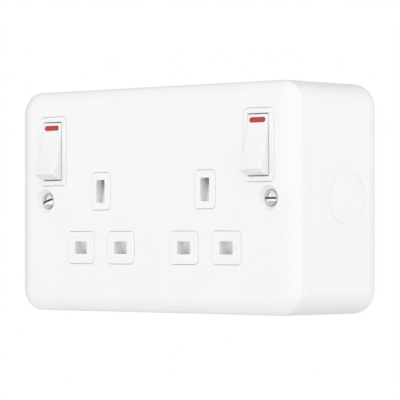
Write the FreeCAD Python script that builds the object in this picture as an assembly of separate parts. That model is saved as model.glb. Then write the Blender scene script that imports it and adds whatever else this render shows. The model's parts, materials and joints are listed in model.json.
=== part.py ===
import FreeCAD, Part
import math
import os

# A white twin switched mains socket on a metal wall box.
# Lengths are millimetres and angles are degrees. X runs to the right, Z up and Y into the wall.
# The origin is the middle of the flat face that lies on the wall. Every depth is measured back from
# the front face of the plate, and every place across it from the middle of the plate.

# Plate and wall box
plate_width = 149.4
plate_height = 87.6
corner_radius = 9.0
lid_depth = 8.0
box_depth = 42.0
lid_sheet = 1.2
box_sheet = 1.2
front_round_in = 7.0
front_round_deep = 3.0
back_round = 8.3
seam_round = 0.4

# Pin pattern of the socket, with earth on top, and the places of its rows
pin_spacing = 22.23
socket_offset = 28.25
earth_row = 3.6
line_slot_width = 6.8
line_slot_height = 4.9
earth_slot_width = 4.55
earth_slot_height = 8.94
slot_corner = 0.4

# Islands of the moulding, which stand in windows of the plate
island_proud = 0.3
island_edge = 0.4
window_gap = 0.12
line_island_width = 15.03
line_island_height = 12.78
earth_island_width = 10.86
earth_island_height = 14.8
island_corner = 2.0
surround_side_rim = 2.31
surround_end_rim = 2.0
surround_corner = 2.4

# Rocker switches
rocker_offset = 55.7
rocker_row = 19.9
rocker_pivot_depth = 2.05
rocker_width = 10.2
rocker_half_length = 10.47
rocker_rise = 5.11
rocker_hollow = 0.82
rocker_wall = 1.2
rocker_face_wall = 1.5
rocker_back_angle = 24.0
rocker_inside_angle = 36.0
rocker_edge = 0.5
rocker_end_gap = 0.15
rocker_side_gap = 0.25
aperture_corner = 0.4
rocker_tilt = 13.1
trunnion_radius = 1.5
trunnion_length = 1.7
bearing_gap = 0.05

# Neon window in the rocker, and the lamp behind it
lens_length = 8.0
lens_height = 1.95
lens_from_end = 2.05
lens_proud = 0.12
lens_gap = 0.04
lens_edge = 0.3
lens_behind = 1.0
lamp_radius = 1.6
lamp_length = 9.0
lamp_drop = 4.6
lamp_depth = 11.3
resistor_radius = 1.2
resistor_length = 6.5
lead_radius = 0.3
lead_length = 0.8
lamp_shelf = 1.5
lamp_shelf_over = 0.2

# Plungers, their springs and the contacts that they rock
pole_spread = 5.2
plunger_radius = 1.45
plunger_start = 4.0
plunger_reach = 13.85
plunger_gap = 0.1
tube_wall = 0.75
tube_start = -2.5
tube_end = 8.0
plunger_spring_radius = 1.25
plunger_spring_turns = 5
plunger_wire = 0.2
blade_width = 3.6
blade_sheet = 0.8
blade_arm = 8.5
blade_bend = 12.6
blade_tilt = 6.0
blade_pivot_depth = 17.0
fulcrum_gap = 0.05
fulcrum_sheet = 0.8
button_radius = 1.3
button_height = 0.5
button_arm = 7.6

# Moulded housing behind the plate
moulding_wall = 2.0
moulding_front = 1.0
moulding_corner = 3.0
surround_margin = 1.64
side_bay = 9.25
head_room = 2.3
wing_drop = 0.6
split_depth = 11.0
floor_depth = 25.0
floor_wall = 2.0
fit_gap = 0.1
rib = 1.4
shutter_rest = 1.0
shutter_rest_gap = 0.15
boss_radius = 2.3
housing_screw_radius = 1.2
housing_screw_head = 2.1
housing_screw_head_height = 1.4
housing_screw_end_depth = 6.5
housing_screw_room = 0.3
cross_half_width = 0.3
cross_half_length = 1.3
cross_depth = 0.7
boss_bore_depth = 6.0
boss_sink = 0.6
boss_top_room = 4.5
boss_low_room = 1.5
boss_side_row = -12.0
dish_room = 0.9
well_short = 2.0
partition_gap = 0.2
pole_wall = 0.8
pole_wall_front = 4.0
pole_wall_short = 1.0
cheek_wall = 0.8
cheek_gap = 0.1
blade_room = 0.3
bar_rest_offset = 6.5
bar_rest_over = 1.0
bar_room_front = 5.0

# Shutters
shutter_half_width = 15.5
shutter_bar_height = 8.0
shutter_overlap = 0.98
shutter_travel = 6.2
shutter_sheet = 4.0
shutter_gap = 0.15
shutter_slide_gap = 0.15
shutter_stop_gap = 0.3
shutter_foot_room = 1.6
stem_half_width = 3.9
stem_window_half_width = 2.5
stem_window_height = 9.0
stem_head = 2.4
line_ramp = 3.0
earth_ramp = 2.2
stem_slot_half_width = 1.9
stem_slot_height = 12.0
stem_slot_gap = 0.5
stem_guide_start = 3.0
stem_guide_length = 6.0
guide_short = 0.5
guide_over = 1.0
post_side_gap = 0.3
ramp_lip = 1.0
line_notch_over = 0.1
line_notch_side = 0.2
post_height = 1.5
shutter_spring_radius = 1.4
shutter_spring_turns = 7
shutter_wire = 0.25
wire_flats = 6

# Bars, strips and pin clips
bar_sheet = 0.8
bar_width = 4.0
strip_width = 3.6
strip_clearance = 0.1
live_bar_row = 20.0
neutral_bar_row = 14.0
feed_bar_depth = 20.6
earth_bar_depth = 17.6
outer_strip = 45.0
top_strip_drop = 4.0
low_strip_row = 9.5
fixed_contact_row = 27.6
fixed_contact_depth = 17.55
clip_mouth_depth = 9.0
clip_throat_depth = 11.8
clip_straight_depth = 15.0
clip_half_opening = 2.4
clip_half_throat = 1.85
clip_half_mouth = 2.9
line_clip_width = 5.0
earth_clip_width = 7.0
fold_inset = 0.2
fold_gap = 0.1

# Terminals
terminal_offset = 9.0
terminal_size = 7.6
terminal_back = 34.0
cable_hole_radius = 2.1
cable_hole_depth = 30.2
terminal_screw_radius = 1.9
terminal_screw_head = 2.8
terminal_screw_head_height = 1.6
terminal_slot_half_width = 0.4
terminal_slot_depth = 0.8
thread_gap = 0.05

# Screws, lugs, studs and nuts
screw_spacing = 120.6
dish_radius = 5.0
dish_depth = 3.0
dish_lip = 1.0
screw_rim_depth = 1.75
screw_radius = 1.75
screw_end_depth = 25.0
screw_dome = 0.9
screw_slot_width = 0.95
screw_slot_depth = 1.6
left_slot_angle = 17.0
right_slot_angle = 0.0
seat_gap = 0.05
lug_sheet = 1.5
lug_depth = 9.4
lug_half_height = 4.5
lug_reach = 4.8
lug_leg = 12.0
stud_radius = 1.5
stud_end_depth = 7.0
stud_gap = 0.3
nut_width = 5.5
nut_height = 2.4
upper_stud_offset = 36.0
upper_stud_drop = 6.0
lower_stud_offset = 6.0
lower_stud_row = -20.0

# Knock-outs, wall holes and the box's own earth terminal
knockout_radius = 10.4
knockout_groove_width = 0.45
knockout_groove_depth = 0.2
knockout_tie = 3.0
side_knockout_depth = 28.4
edge_knockout_offset = 37.0
rear_knockout_offset = 27.0
wall_hole_radius = 2.5
wall_hole_spacing_x = 100.0
wall_hole_spacing_z = 50.0
box_terminal_inset = 11.8
box_terminal_rise = 12.8
box_terminal_width = 8.0
box_terminal_height = 7.0
box_slot_angle = 35.0

# How far a cut reaches past the surface that it opens
past = 1.0

# Places that follow from the sizes above
total_depth = lid_depth + box_depth
line_row = earth_row - pin_spacing
pin_offset = pin_spacing / 2.0
front_wall_back = lid_sheet + moulding_front
floor_back = floor_depth + floor_wall
rocker_radius = math.hypot(rocker_half_length, rocker_rise)
rocker_half_width = rocker_width / 2.0
aperture_width = rocker_width + 2.0 * rocker_side_gap
aperture_height = 2.0 * (rocker_radius + rocker_end_gap)
surround_width = aperture_width + 2.0 * surround_side_rim
surround_height = aperture_height + 2.0 * surround_end_rim
wing_half_width = rocker_offset + surround_width / 2.0 + surround_margin
wing_bottom = rocker_row - surround_height / 2.0 - wing_drop
module_top = rocker_row + surround_height / 2.0 + head_room
module_half_width = socket_offset + shutter_half_width + side_bay
lamp_row = module_top - lamp_drop
top_strip_row = module_top - top_strip_drop
shutter_bottom = line_row - line_slot_height / 2.0 - shutter_overlap - (shutter_bar_height
                 - line_slot_height - 2.0 * shutter_overlap)
shutter_front = front_wall_back + shutter_gap
shutter_back = shutter_front + shutter_sheet
bar_top = shutter_bottom + shutter_bar_height
module_bottom = shutter_bottom - shutter_travel - shutter_foot_room - moulding_wall
stem_window_bottom = earth_row - earth_slot_height / 2.0 + shutter_travel
stem_window_top = stem_window_bottom + stem_window_height
stem_slot_bottom = bar_top + stem_slot_gap
stem_slot_top = stem_slot_bottom + stem_slot_height
post_bottom = stem_slot_bottom + shutter_stop_gap
post_top = post_bottom + post_height
pole_offset = pole_spread / 2.0
inner_half_width = plate_width / 2.0 - box_sheet
inner_half_height = plate_height / 2.0 - box_sheet
box_terminal_x = box_terminal_inset - inner_half_width
box_terminal_z = box_terminal_rise - inner_half_height

across = FreeCAD.Vector(1, 0, 0)
inward = FreeCAD.Vector(0, 1, 0)
upward = FreeCAD.Vector(0, 0, 1)
SIDES = (("left", -1), ("right", 1))
POLES = ("live", "neutral")


def at(x, depth, z):
    """Point at a place on the plate and a depth behind its front face."""
    return FreeCAD.Vector(x, depth - total_depth, z)


def block(x_low, x_high, front, back, z_low, z_high):
    """Rectangular solid between two places, two depths and two heights."""
    return Part.makeBox(x_high - x_low, back - front, z_high - z_low, at(x_low, front, z_low))


def rod(x, z, radius, front, back):
    """Round bar that runs into the wall."""
    return Part.makeCylinder(radius, back - front, at(x, front, z), inward)


def cross_rod(depth, z, radius, x_low, x_high):
    """Round bar that runs from left to right."""
    return Part.makeCylinder(radius, x_high - x_low, at(x_low, depth, z), across)


def join(shapes):
    """One solid from several that meet."""
    joined = shapes[0].multiFuse(shapes[1:])
    return joined.removeSplitter()


def closed_wire(place, start, steps):
    """Closed outline. A step is the next corner, or the middle and the end of an arc."""
    edges = []
    here = place(*start)
    for step in steps + [start]:
        is_arc = isinstance(step[0], tuple)
        end = place(*(step[1] if is_arc else step))
        if here.distanceToPoint(end) < 1e-6:
            continue
        if is_arc:
            edges.append(Part.Arc(here, place(*step[0]), end).toShape())
        else:
            edges.append(Part.LineSegment(here, end).toShape())
        here = end
    return Part.Wire(edges)


def side_prism(start, steps, x_low, x_high):
    """Solid with one outline of depth and height all the way from left to right."""
    wire = closed_wire(lambda depth, z: at(x_low, depth, z), start, steps)
    return Part.Face(wire).extrude(across * (x_high - x_low))


def front_prism(start, steps, front, back):
    """Solid with one outline of place and height from one depth to another."""
    wire = closed_wire(lambda x, z: at(x, front, z), start, steps)
    return Part.Face(wire).extrude(inward * (back - front))


def turned(x, z, start, steps):
    """Turned solid about a line into the wall, from an outline of radius and depth."""
    wire = closed_wire(lambda radius, depth: at(x + radius, depth, z), start, steps)
    return Part.Face(wire).revolve(at(x, 0, z), inward, 360)


def rounded_corners(points, radius):
    """Start and steps of an outline whose corners all have one radius."""
    steps = []
    for index, point in enumerate(points):
        corner = FreeCAD.Vector(point[0], point[1], 0)
        ahead = points[(index + 1) % len(points)]
        behind = points[index - 1]
        to_ahead = (FreeCAD.Vector(ahead[0], ahead[1], 0) - corner).normalize()
        to_behind = (FreeCAD.Vector(behind[0], behind[1], 0) - corner).normalize()
        half_angle = to_ahead.getAngle(to_behind) / 2.0
        setback = radius / math.tan(half_angle)
        first = corner + to_behind * setback
        last = corner + to_ahead * setback
        toward = (to_ahead + to_behind).normalize()
        middle = corner + toward * (radius / math.sin(half_angle) - radius)
        steps.append((first.x, first.y))
        steps.append(((middle.x, middle.y), (last.x, last.y)))
    return steps[0], steps[1:]


def rounded_slab(x, z, width, height, radius, front, back):
    """Slab with four round corners between two depths."""
    half_width = width / 2.0
    half_height = height / 2.0
    corners = [(x - half_width, z - half_height), (x + half_width, z - half_height),
               (x + half_width, z + half_height), (x - half_width, z + half_height)]
    start, steps = rounded_corners(corners, radius)
    return front_prism(start, steps, front, back)


def soften_front(solid, front, radius):
    """Round the edges of a solid that lie at its front depth."""
    level = front - total_depth
    edges = [edge for edge in solid.Edges if abs(edge.BoundBox.YMin - level) < 1e-5
             and abs(edge.BoundBox.YMax - level) < 1e-5]
    return solid.makeFillet(radius, edges)


def quarter_curve(start, corner, end):
    """Quarter of a circle or an ellipse, tangent to the two lines that meet at the corner."""
    radius = start.distanceToPoint(corner)
    if abs(radius - end.distanceToPoint(corner)) < 1e-6:
        centre = start + end - corner
        toward = (corner - centre).normalize()
        return Part.Arc(start, centre + toward * radius, end).toShape()
    curve = Part.BezierCurve()
    curve.setPoles([start, corner, end])
    curve.setWeight(2, math.sqrt(0.5))
    return curve.toShape()


def soft_block(width, height, corner, round_in, round_deep, flat, rim, rim_round):
    """Block with round corners whose flat end falls away all round in a soft curve."""
    sense = 1.0 if rim > flat else -1.0
    round_in = min(round_in, corner - 0.2)
    curve_end = flat + sense * round_deep
    rim_start = rim - sense * rim_round

    def profile(x, z, out):
        """Face from a corner's centre line outward, along the direction given."""
        def spot(radius, depth):
            return at(x, depth, z) + out * radius
        edges = [Part.LineSegment(spot(0, flat), spot(corner - round_in, flat)).toShape(),
                 quarter_curve(spot(corner - round_in, flat), spot(corner, flat), spot(corner, curve_end)),
                 Part.LineSegment(spot(corner, curve_end), spot(corner, rim_start)).toShape()]
        inner = corner
        if rim_round > 0:
            inner = corner - rim_round
            edges.append(quarter_curve(spot(corner, rim_start), spot(corner, rim), spot(inner, rim)))
        edges.append(Part.LineSegment(spot(inner, rim), spot(0, rim)).toShape())
        edges.append(Part.LineSegment(spot(0, rim), spot(0, flat)).toShape())
        return Part.Face(Part.Wire(edges))

    x_out = width / 2.0 - corner
    z_out = height / 2.0 - corner
    low, high = min(flat, rim), max(flat, rim)
    pieces = [block(-x_out, x_out, low, high, -z_out, z_out)]
    for x_sign in (-1, 1):
        for z_sign in (-1, 1):
            start = at(x_sign * x_out, 0, z_sign * z_out)
            turn = -90 if x_sign * z_sign > 0 else 90
            face = profile(x_sign * x_out, z_sign * z_out, across * x_sign)
            pieces.append(face.revolve(start, inward, turn))
        pieces.append(profile(x_sign * x_out, -z_out, across * x_sign).extrude(upward * (2 * z_out)))
        pieces.append(profile(-x_out, x_sign * z_out, upward * x_sign).extrude(across * (2 * x_out)))
    return join(pieces)


def coil(centre, direction, radius, wire, length, turns):
    """Open coil spring that starts at the centre and runs along the direction, of wire with small flats."""
    pitch = (length - 2.0 * wire) / turns
    helix = Part.makeHelix(pitch, pitch * turns, radius)
    corners = []
    for flat in range(wire_flats):
        angle = 2.0 * math.pi * flat / wire_flats
        corners.append(FreeCAD.Vector(radius + wire * math.cos(angle), 0, wire * math.sin(angle)))
    section = Part.makePolygon(corners + corners[:1])
    spring = Part.Wire(helix.Edges).makePipeShell([section], True, True)
    spring.translate(FreeCAD.Vector(0, 0, wire))
    spring.Placement = FreeCAD.Placement(centre, FreeCAD.Rotation(upward, direction)).multiply(
        spring.Placement)
    return spring


def slotted(head, x, z, front, depth, angle):
    """Cut a driver slot across a screw's head."""
    reach = 2.0 * dish_radius
    slot = block(x - reach, x + reach, front - past, depth, z - screw_slot_width / 2.0,
                 z + screw_slot_width / 2.0)
    slot.rotate(at(x, 0, z), inward, -angle)
    return head.cut(slot)


# Plate

def islands():
    """Centre, size and corner radius of each island of the moulding."""
    places = []
    for _, side in SIDES:
        socket_x = side * socket_offset
        places.append((side * rocker_offset, rocker_row, surround_width, surround_height,
                       surround_corner))
        places.append((socket_x, earth_row, earth_island_width, earth_island_height, island_corner))
        for hand in (-1, 1):
            places.append((socket_x + hand * pin_offset, line_row, line_island_width,
                           line_island_height, island_corner))
    return places


def stud_places():
    """Places of the four studs behind the plate."""
    spots = ((upper_stud_offset, module_top - upper_stud_drop), (lower_stud_offset, lower_stud_row))
    return [(side * x, z) for _, side in SIDES for x, z in spots]


def make_front_plate():
    """Pressed lid with its windows, its two dished screw places and four welded studs."""
    plate = soft_block(plate_width, plate_height, corner_radius, front_round_in, front_round_deep,
                       0.0, lid_depth, seam_round)
    hollow = soft_block(plate_width - 2 * lid_sheet, plate_height - 2 * lid_sheet,
                        corner_radius - lid_sheet, front_round_in - lid_sheet,
                        front_round_deep - lid_sheet, lid_sheet, lid_depth + past, 0.0)
    plate = plate.cut(hollow)
    for x, z, width, height, corner in islands():
        window = rounded_slab(x, z, width + 2 * window_gap, height + 2 * window_gap,
                              corner + window_gap, -past, lid_sheet + past)
        plate = plate.cut(window)
    hole_radius = dish_radius - dish_depth
    slant = lid_sheet * math.sqrt(2.0)
    dish_end = dish_depth + dish_lip
    for _, side in SIDES:
        x = side * screw_spacing / 2.0
        plate = plate.cut(rod(x, 0, dish_radius, -past, lid_sheet))
        dish = turned(x, 0, (dish_radius, 0), [
            (hole_radius, dish_depth), (hole_radius, dish_end),
            (dish_radius - dish_end + slant, dish_end), (dish_radius - lid_sheet + slant, lid_sheet),
            (dish_radius - lid_sheet + slant, lid_sheet / 2.0), (dish_radius, lid_sheet / 2.0)])
        plate = plate.fuse(dish)
    for x, z in stud_places():
        plate = plate.fuse(rod(x, z, stud_radius, lid_sheet, stud_end_depth))
    return plate.removeSplitter()


def make_plate_nuts():
    """Four hexagon nuts that hold the moulding on the plate's studs."""
    nuts = []
    front = front_wall_back
    corner_out = nut_width / 2.0 / math.cos(math.radians(30))
    for x, z in stud_places():
        corners = [(x + corner_out * math.cos(math.radians(60 * n)),
                    z + corner_out * math.sin(math.radians(60 * n))) for n in range(6)]
        nut = front_prism(corners[0], corners[1:], front, front + nut_height)
        nuts.append(nut.cut(rod(x, z, stud_radius + thread_gap, front - past,
                            front + nut_height + past)))
    return Part.makeCompound(nuts)


# Wall box

def knockout_groove(centre, outward, tie_direction):
    """Ring groove of one knock-out, with a tie left on one side."""
    base = centre - outward * knockout_groove_depth
    depth = knockout_groove_depth + past
    inner_radius = knockout_radius - knockout_groove_width
    ring = Part.makeCylinder(knockout_radius, depth, base, outward)
    ring = ring.cut(Part.makeCylinder(inner_radius, depth, base, outward))
    tie = Part.makeBox(knockout_tie, knockout_tie, 2 * depth,
                       FreeCAD.Vector(-knockout_tie / 2.0, -knockout_tie / 2.0, -depth / 2.0))
    turn = FreeCAD.Rotation(upward, outward)
    tie.Placement = FreeCAD.Placement(base + tie_direction * knockout_radius, turn)
    tie.translate(turn.multVec(FreeCAD.Vector(0, 0, -depth / 2.0)))
    return ring.cut(tie)


def knockouts():
    """Grooves of the knock-outs on the ends, the long sides and the back."""
    grooves = []
    for _, side in SIDES:
        end = at(side * plate_width / 2.0, side_knockout_depth, 0)
        grooves.append(knockout_groove(end, across * side, inward))
        for offset in (-edge_knockout_offset, edge_knockout_offset):
            edge = at(offset, side_knockout_depth, side * plate_height / 2.0)
            grooves.append(knockout_groove(edge, upward * side, inward))
        rear = at(side * rear_knockout_offset, total_depth, 0)
        grooves.append(knockout_groove(rear, inward, upward))
    return grooves


def wall_holes():
    """Places of the four holes that hold the box on the wall."""
    return [(side * wall_hole_spacing_x / 2.0, level * wall_hole_spacing_z / 2.0)
            for _, side in SIDES for level in (-1, 1)]


def make_back_box():
    """Deep pressed box with soft back edges, knock-outs and wall holes."""
    box = soft_block(plate_width, plate_height, corner_radius, back_round, back_round, total_depth,
                     lid_depth, seam_round)
    hollow = soft_block(plate_width - 2 * box_sheet, plate_height - 2 * box_sheet,
                        corner_radius - box_sheet, back_round - box_sheet, back_round - box_sheet,
                        total_depth - box_sheet, lid_depth - past, 0.0)
    box = box.cut(hollow)
    for x, z in wall_holes():
        box = box.cut(rod(x, z, wall_hole_radius, total_depth - box_sheet - past, total_depth + past))
    for groove in knockouts():
        box = box.cut(groove)
    return box


def make_fixing_lug(side):
    """Folded lug on the box's end wall, threaded for the plate's screw."""
    screw_x = screw_spacing / 2.0
    low, high = screw_x - lug_reach, inner_half_width
    shelf_back = lug_depth + lug_sheet
    shelf = block(low, high, lug_depth, shelf_back, -lug_half_height, lug_half_height)
    leg = block(high - lug_sheet, high, shelf_back, shelf_back + lug_leg, -lug_half_height,
                lug_half_height)
    lug = join([shelf, leg])
    lug = lug.cut(rod(screw_x, 0, screw_radius + thread_gap, lug_depth - past, shelf_back + past))
    return lug if side > 0 else lug.mirror(FreeCAD.Vector(0, 0, 0), across)


def make_plate_screw(side, angle):
    """Raised countersunk screw with a straight slot."""
    x = side * screw_spacing / 2.0
    rim = dish_radius - screw_rim_depth - seat_gap
    top = screw_rim_depth - screw_dome
    dome_radius = (rim * rim + screw_dome * screw_dome) / (2.0 * screw_dome)
    half = math.asin(rim / dome_radius) / 2.0
    middle = (dome_radius * math.sin(half), top + dome_radius * (1.0 - math.cos(half)))
    neck_depth = screw_rim_depth + rim - screw_radius
    screw = turned(x, 0, (0, top), [(middle, (rim, screw_rim_depth)), (screw_radius, neck_depth),
                                    (screw_radius, screw_end_depth), (0, screw_end_depth)])
    return slotted(screw, x, 0, top, screw_slot_depth, angle)


def make_box_earth_terminal():
    """Brass earth block on the back wall of the box."""
    half_width = box_terminal_width / 2.0
    half_height = box_terminal_height / 2.0
    back = total_depth - box_sheet
    front = back - box_terminal_width
    piece = block(box_terminal_x - half_width, box_terminal_x + half_width, front, back,
                  box_terminal_z - half_height, box_terminal_z + half_height)
    hole = cross_rod((front + back) / 2.0, box_terminal_z, cable_hole_radius,
                     box_terminal_x - half_width - past, box_terminal_x + half_width + past)
    thread = rod(box_terminal_x, box_terminal_z, terminal_screw_radius + thread_gap, front - past,
                 (front + back) / 2.0)
    return piece.cut(hole).cut(thread)


def make_box_earth_screw():
    """Screw of the box's earth block, driven from the front."""
    front = total_depth - box_sheet - box_terminal_width
    head_front = front - terminal_screw_head_height
    shank = rod(box_terminal_x, box_terminal_z, terminal_screw_radius, front,
                front + box_terminal_width / 4.0)
    head = rod(box_terminal_x, box_terminal_z, terminal_screw_head, head_front, front)
    screw = join([shank, head])
    return slotted(screw, box_terminal_x, box_terminal_z, head_front,
                   head_front + terminal_screw_head_height / 2.0, box_slot_angle)


# Moulded housing

def module_outline(inset, front, back):
    """Slab with the outline of the housing: a body with a wing for each rocker."""
    half = module_half_width - inset
    wing = wing_half_width - inset
    low = module_bottom + inset
    high = module_top - inset
    step = wing_bottom + inset
    corners = [(-half, low), (half, low), (half, step), (wing, step), (wing, high), (-wing, high),
               (-wing, step), (-half, step)]
    start, steps = rounded_corners(corners, moulding_corner)
    return front_prism(start, steps, front, back)


def boss_places():
    """Places of the screws that hold the two halves of the housing together."""
    side_x = module_half_width - moulding_wall - boss_radius + boss_sink
    high = module_top - moulding_wall - boss_radius - boss_top_room
    low = module_bottom + moulding_wall + boss_radius + boss_low_room
    return [(0.0, high), (0.0, low), (-side_x, boss_side_row), (side_x, boss_side_row)]


def rocker_well(x, gap, front, back):
    """Well that the rocker's surround forms."""
    return rounded_slab(x, rocker_row, surround_width + gap, surround_height + gap,
                        surround_corner, front, back)


def shutter_guides(x):
    """Guide ribs beside a shutter and the post that its spring stands on."""
    pieces = []
    rib_back = shutter_back - guide_short
    stem_guide = bar_top + stem_guide_start
    for hand in (-1, 1):
        inner = shutter_half_width + shutter_slide_gap
        low, high = sorted((x + hand * inner, x + hand * (inner + rib)))
        pieces.append(block(low, high, front_wall_back, rib_back, module_bottom + moulding_wall / 2.0,
                            bar_top + guide_over))
        inner = stem_half_width + shutter_slide_gap
        low, high = sorted((x + hand * inner, x + hand * (inner + rib)))
        pieces.append(block(low, high, front_wall_back, rib_back, stem_guide,
                            stem_guide + stem_guide_length))
    half = stem_slot_half_width - post_side_gap
    pieces.append(block(x - half, x + half, front_wall_back, shutter_back, post_bottom, post_top))
    return pieces


def make_socket_front():
    """Front half of the housing: islands, slots, rocker wells and shutter guides."""
    shell = module_outline(0.0, lid_sheet, split_depth)
    shell = shell.cut(module_outline(moulding_wall, front_wall_back, split_depth + past))
    for _, side in SIDES:
        shell = shell.cut(rod(side * screw_spacing / 2.0, 0, dish_radius + dish_room, 0,
                              split_depth + past))
    pieces = [shell]
    for x, z, width, height, corner in islands():
        island = rounded_slab(x, z, width, height, corner, -island_proud, front_wall_back)
        pieces.append(soften_front(island, -island_proud, island_edge))
    for _, side in SIDES:
        pieces.append(rocker_well(side * rocker_offset, 0.0, lid_sheet, split_depth - well_short))
        pieces.extend(shutter_guides(side * socket_offset))
    for x, z in boss_places():
        pieces.append(rod(x, z, boss_radius, front_wall_back, split_depth))
    front = join(pieces)
    for _, side in SIDES:
        x = side * rocker_offset
        front = front.cut(rounded_slab(x, rocker_row, aperture_width, aperture_height,
                                       aperture_corner, -past, split_depth + past))
        reach = rocker_half_width + trunnion_length + bearing_gap
        bearing = trunnion_radius + bearing_gap
        front = front.cut(cross_rod(rocker_pivot_depth, rocker_row, bearing, x - reach, x + reach))
        front = front.cut(block(x - reach, x + reach, rocker_pivot_depth, split_depth + past,
                                rocker_row - bearing, rocker_row + bearing))
        socket_x = side * socket_offset
        front = front.cut(slot_hole(socket_x, earth_row, earth_slot_width, earth_slot_height))
        for hand in (-1, 1):
            front = front.cut(slot_hole(socket_x + hand * pin_offset, line_row, line_slot_width,
                                        line_slot_height))
    for x, z in stud_places():
        front = front.cut(rod(x, z, stud_radius + stud_gap, 0, front_wall_back + past))
    for x, z in boss_places():
        front = front.cut(rod(x, z, housing_screw_radius + thread_gap, boss_bore_depth,
                              split_depth + past))
    return front


def slot_hole(x, z, width, height):
    """Pin slot through an island."""
    return rounded_slab(x, z, width, height, slot_corner, -past, front_wall_back + past)


def strip_boxes(points, width, front, back):
    """Boxes of a flat strip that runs through the points."""
    half = width / 2.0
    boxes = []
    for (x_one, z_one), (x_two, z_two) in zip(points, points[1:]):
        boxes.append(block(min(x_one, x_two) - half, max(x_one, x_two) + half, front, back,
                           min(z_one, z_two) - half, max(z_one, z_two) + half))
    return boxes


def pole_x(side, pole):
    """Place of a contact: live inboard and neutral outboard of its rocker's middle."""
    step = -pole_offset if pole == "live" else pole_offset
    return side * (rocker_offset + step)


def load_route(side, pole):
    """Points of the strip from a switch contact to its pin clip."""
    start = (pole_x(side, pole), fixed_contact_row)
    inboard = (side > 0) == (pole == "neutral")
    clip = (side * socket_offset + (-side * pin_offset if inboard else side * pin_offset), line_row)
    if inboard:
        return [start, (start[0], top_strip_row), (clip[0], top_strip_row), clip]
    outer = side * outer_strip
    if pole == "live":
        return [start, (outer, fixed_contact_row), (outer, line_row), clip]
    return [start, (start[0], low_strip_row), (outer, low_strip_row), (outer, line_row), clip]


def strip_room():
    """Space that the housing leaves for the load strips."""
    front = floor_depth - bar_sheet - 2 * strip_clearance
    room = []
    for _, side in SIDES:
        for pole in POLES:
            room.extend(strip_boxes(load_route(side, pole), strip_width + 2 * strip_clearance, front,
                                    floor_depth))
    return room


def bar_room():
    """Space that the housing leaves for the two feed bars."""
    gap = strip_clearance
    room = []
    for row, reach in ((live_bar_row, live_reach()), (neutral_bar_row, neutral_reach())):
        room.append(block(-reach - gap, reach + gap, feed_bar_depth - bar_room_front,
                          feed_bar_depth + bar_sheet,
                          row - bar_width / 2.0 - gap, row + bar_width / 2.0 + gap))
    return room


def live_reach():
    """Half length of the live feed bar."""
    return rocker_offset - pole_offset + blade_width / 2.0


def neutral_reach():
    """Half length of the neutral feed bar."""
    return rocker_offset + pole_offset + blade_width / 2.0


def terminal_places():
    """Name, place and front depth of each terminal."""
    feed_back = feed_bar_depth + bar_sheet
    earth_back = earth_bar_depth + bar_sheet
    return [("live_terminal", terminal_offset, live_bar_row, feed_back),
            ("neutral_terminal", -terminal_offset, neutral_bar_row, feed_back),
            ("left_earth_terminal", -terminal_offset, earth_row, earth_back),
            ("right_earth_terminal", terminal_offset, earth_row, earth_back)]


def make_socket_base():
    """Rear half of the housing, with its ribs, chambers and lamp shelves."""
    shell = module_outline(0.0, split_depth, floor_back)
    shell = shell.cut(module_outline(moulding_wall, split_depth - past, floor_depth))
    pieces = [shell]
    inner_top = module_top - moulding_wall
    inner_step = wing_bottom + moulding_wall / 2.0
    bar_rest_reach = bar_width / 2.0 + bar_rest_over
    for _, side in SIDES:
        socket_x = side * socket_offset
        rocker_x = side * rocker_offset
        for hand in (-1, 1):
            inner = pin_offset + line_clip_width / 2.0 + shutter_rest_gap
            low, high = sorted((socket_x + hand * inner, socket_x + hand * (inner + shutter_rest)))
            pieces.append(block(low, high, shutter_back + shutter_rest_gap, floor_depth,
                                module_bottom + moulding_wall + fit_gap, bar_top))
            rest = socket_x + hand * bar_rest_offset
            pieces.append(block(rest - rib / 2.0, rest + rib / 2.0, feed_bar_depth + bar_sheet,
                                floor_depth, neutral_bar_row - bar_rest_reach,
                                live_bar_row + bar_rest_reach))
        inner = rocker_offset - surround_width / 2.0
        low, high = sorted((side * inner, side * (inner - rib)))
        pieces.append(block(low, high, split_depth + partition_gap, floor_depth, inner_step, inner_top))
        pieces.append(block(rocker_x - pole_wall / 2.0, rocker_x + pole_wall / 2.0,
                            blade_pivot_depth - pole_wall_front, floor_depth, inner_step,
                            fixed_contact_row - pole_wall_short))
        for far in (live_reach() - blade_width - 2.0 * blade_room, neutral_reach() - cheek_gap):
            low, high = sorted((side * far, side * (far - cheek_wall)))
            pieces.append(block(low, high, feed_bar_depth + bar_sheet, floor_depth, inner_step,
                                live_bar_row + bar_rest_reach))
        shelf_front = lamp_depth + lamp_radius
        pieces.append(block(rocker_x - surround_width / 2.0,
                            rocker_x + surround_width / 2.0 + lamp_shelf_over, shelf_front, shelf_front + lamp_shelf, lamp_row - lamp_radius, inner_top))
    for x, z in boss_places():
        pieces.append(rod(x, z, boss_radius, split_depth, floor_back))
    base = join(pieces)
    for room in strip_room() + bar_room():
        base = base.cut(room)
    for _, side in SIDES:
        half = blade_width / 2.0 + blade_room
        x = pole_x(side, "neutral")
        base = base.cut(block(x - half, x + half, blade_pivot_depth, feed_bar_depth + bar_sheet,
                              neutral_bar_row, live_bar_row + bar_rest_reach))
    for _, x, z, _ in terminal_places():
        half = terminal_size / 2.0 + fit_gap
        base = base.cut(block(x - half, x + half, floor_depth - past, floor_back + past, z - half,
                              z + half))
    for x, z in boss_places():
        base = base.cut(rod(x, z, housing_screw_radius + housing_screw_room, split_depth - past,
                            floor_back + past))
    return base


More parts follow.
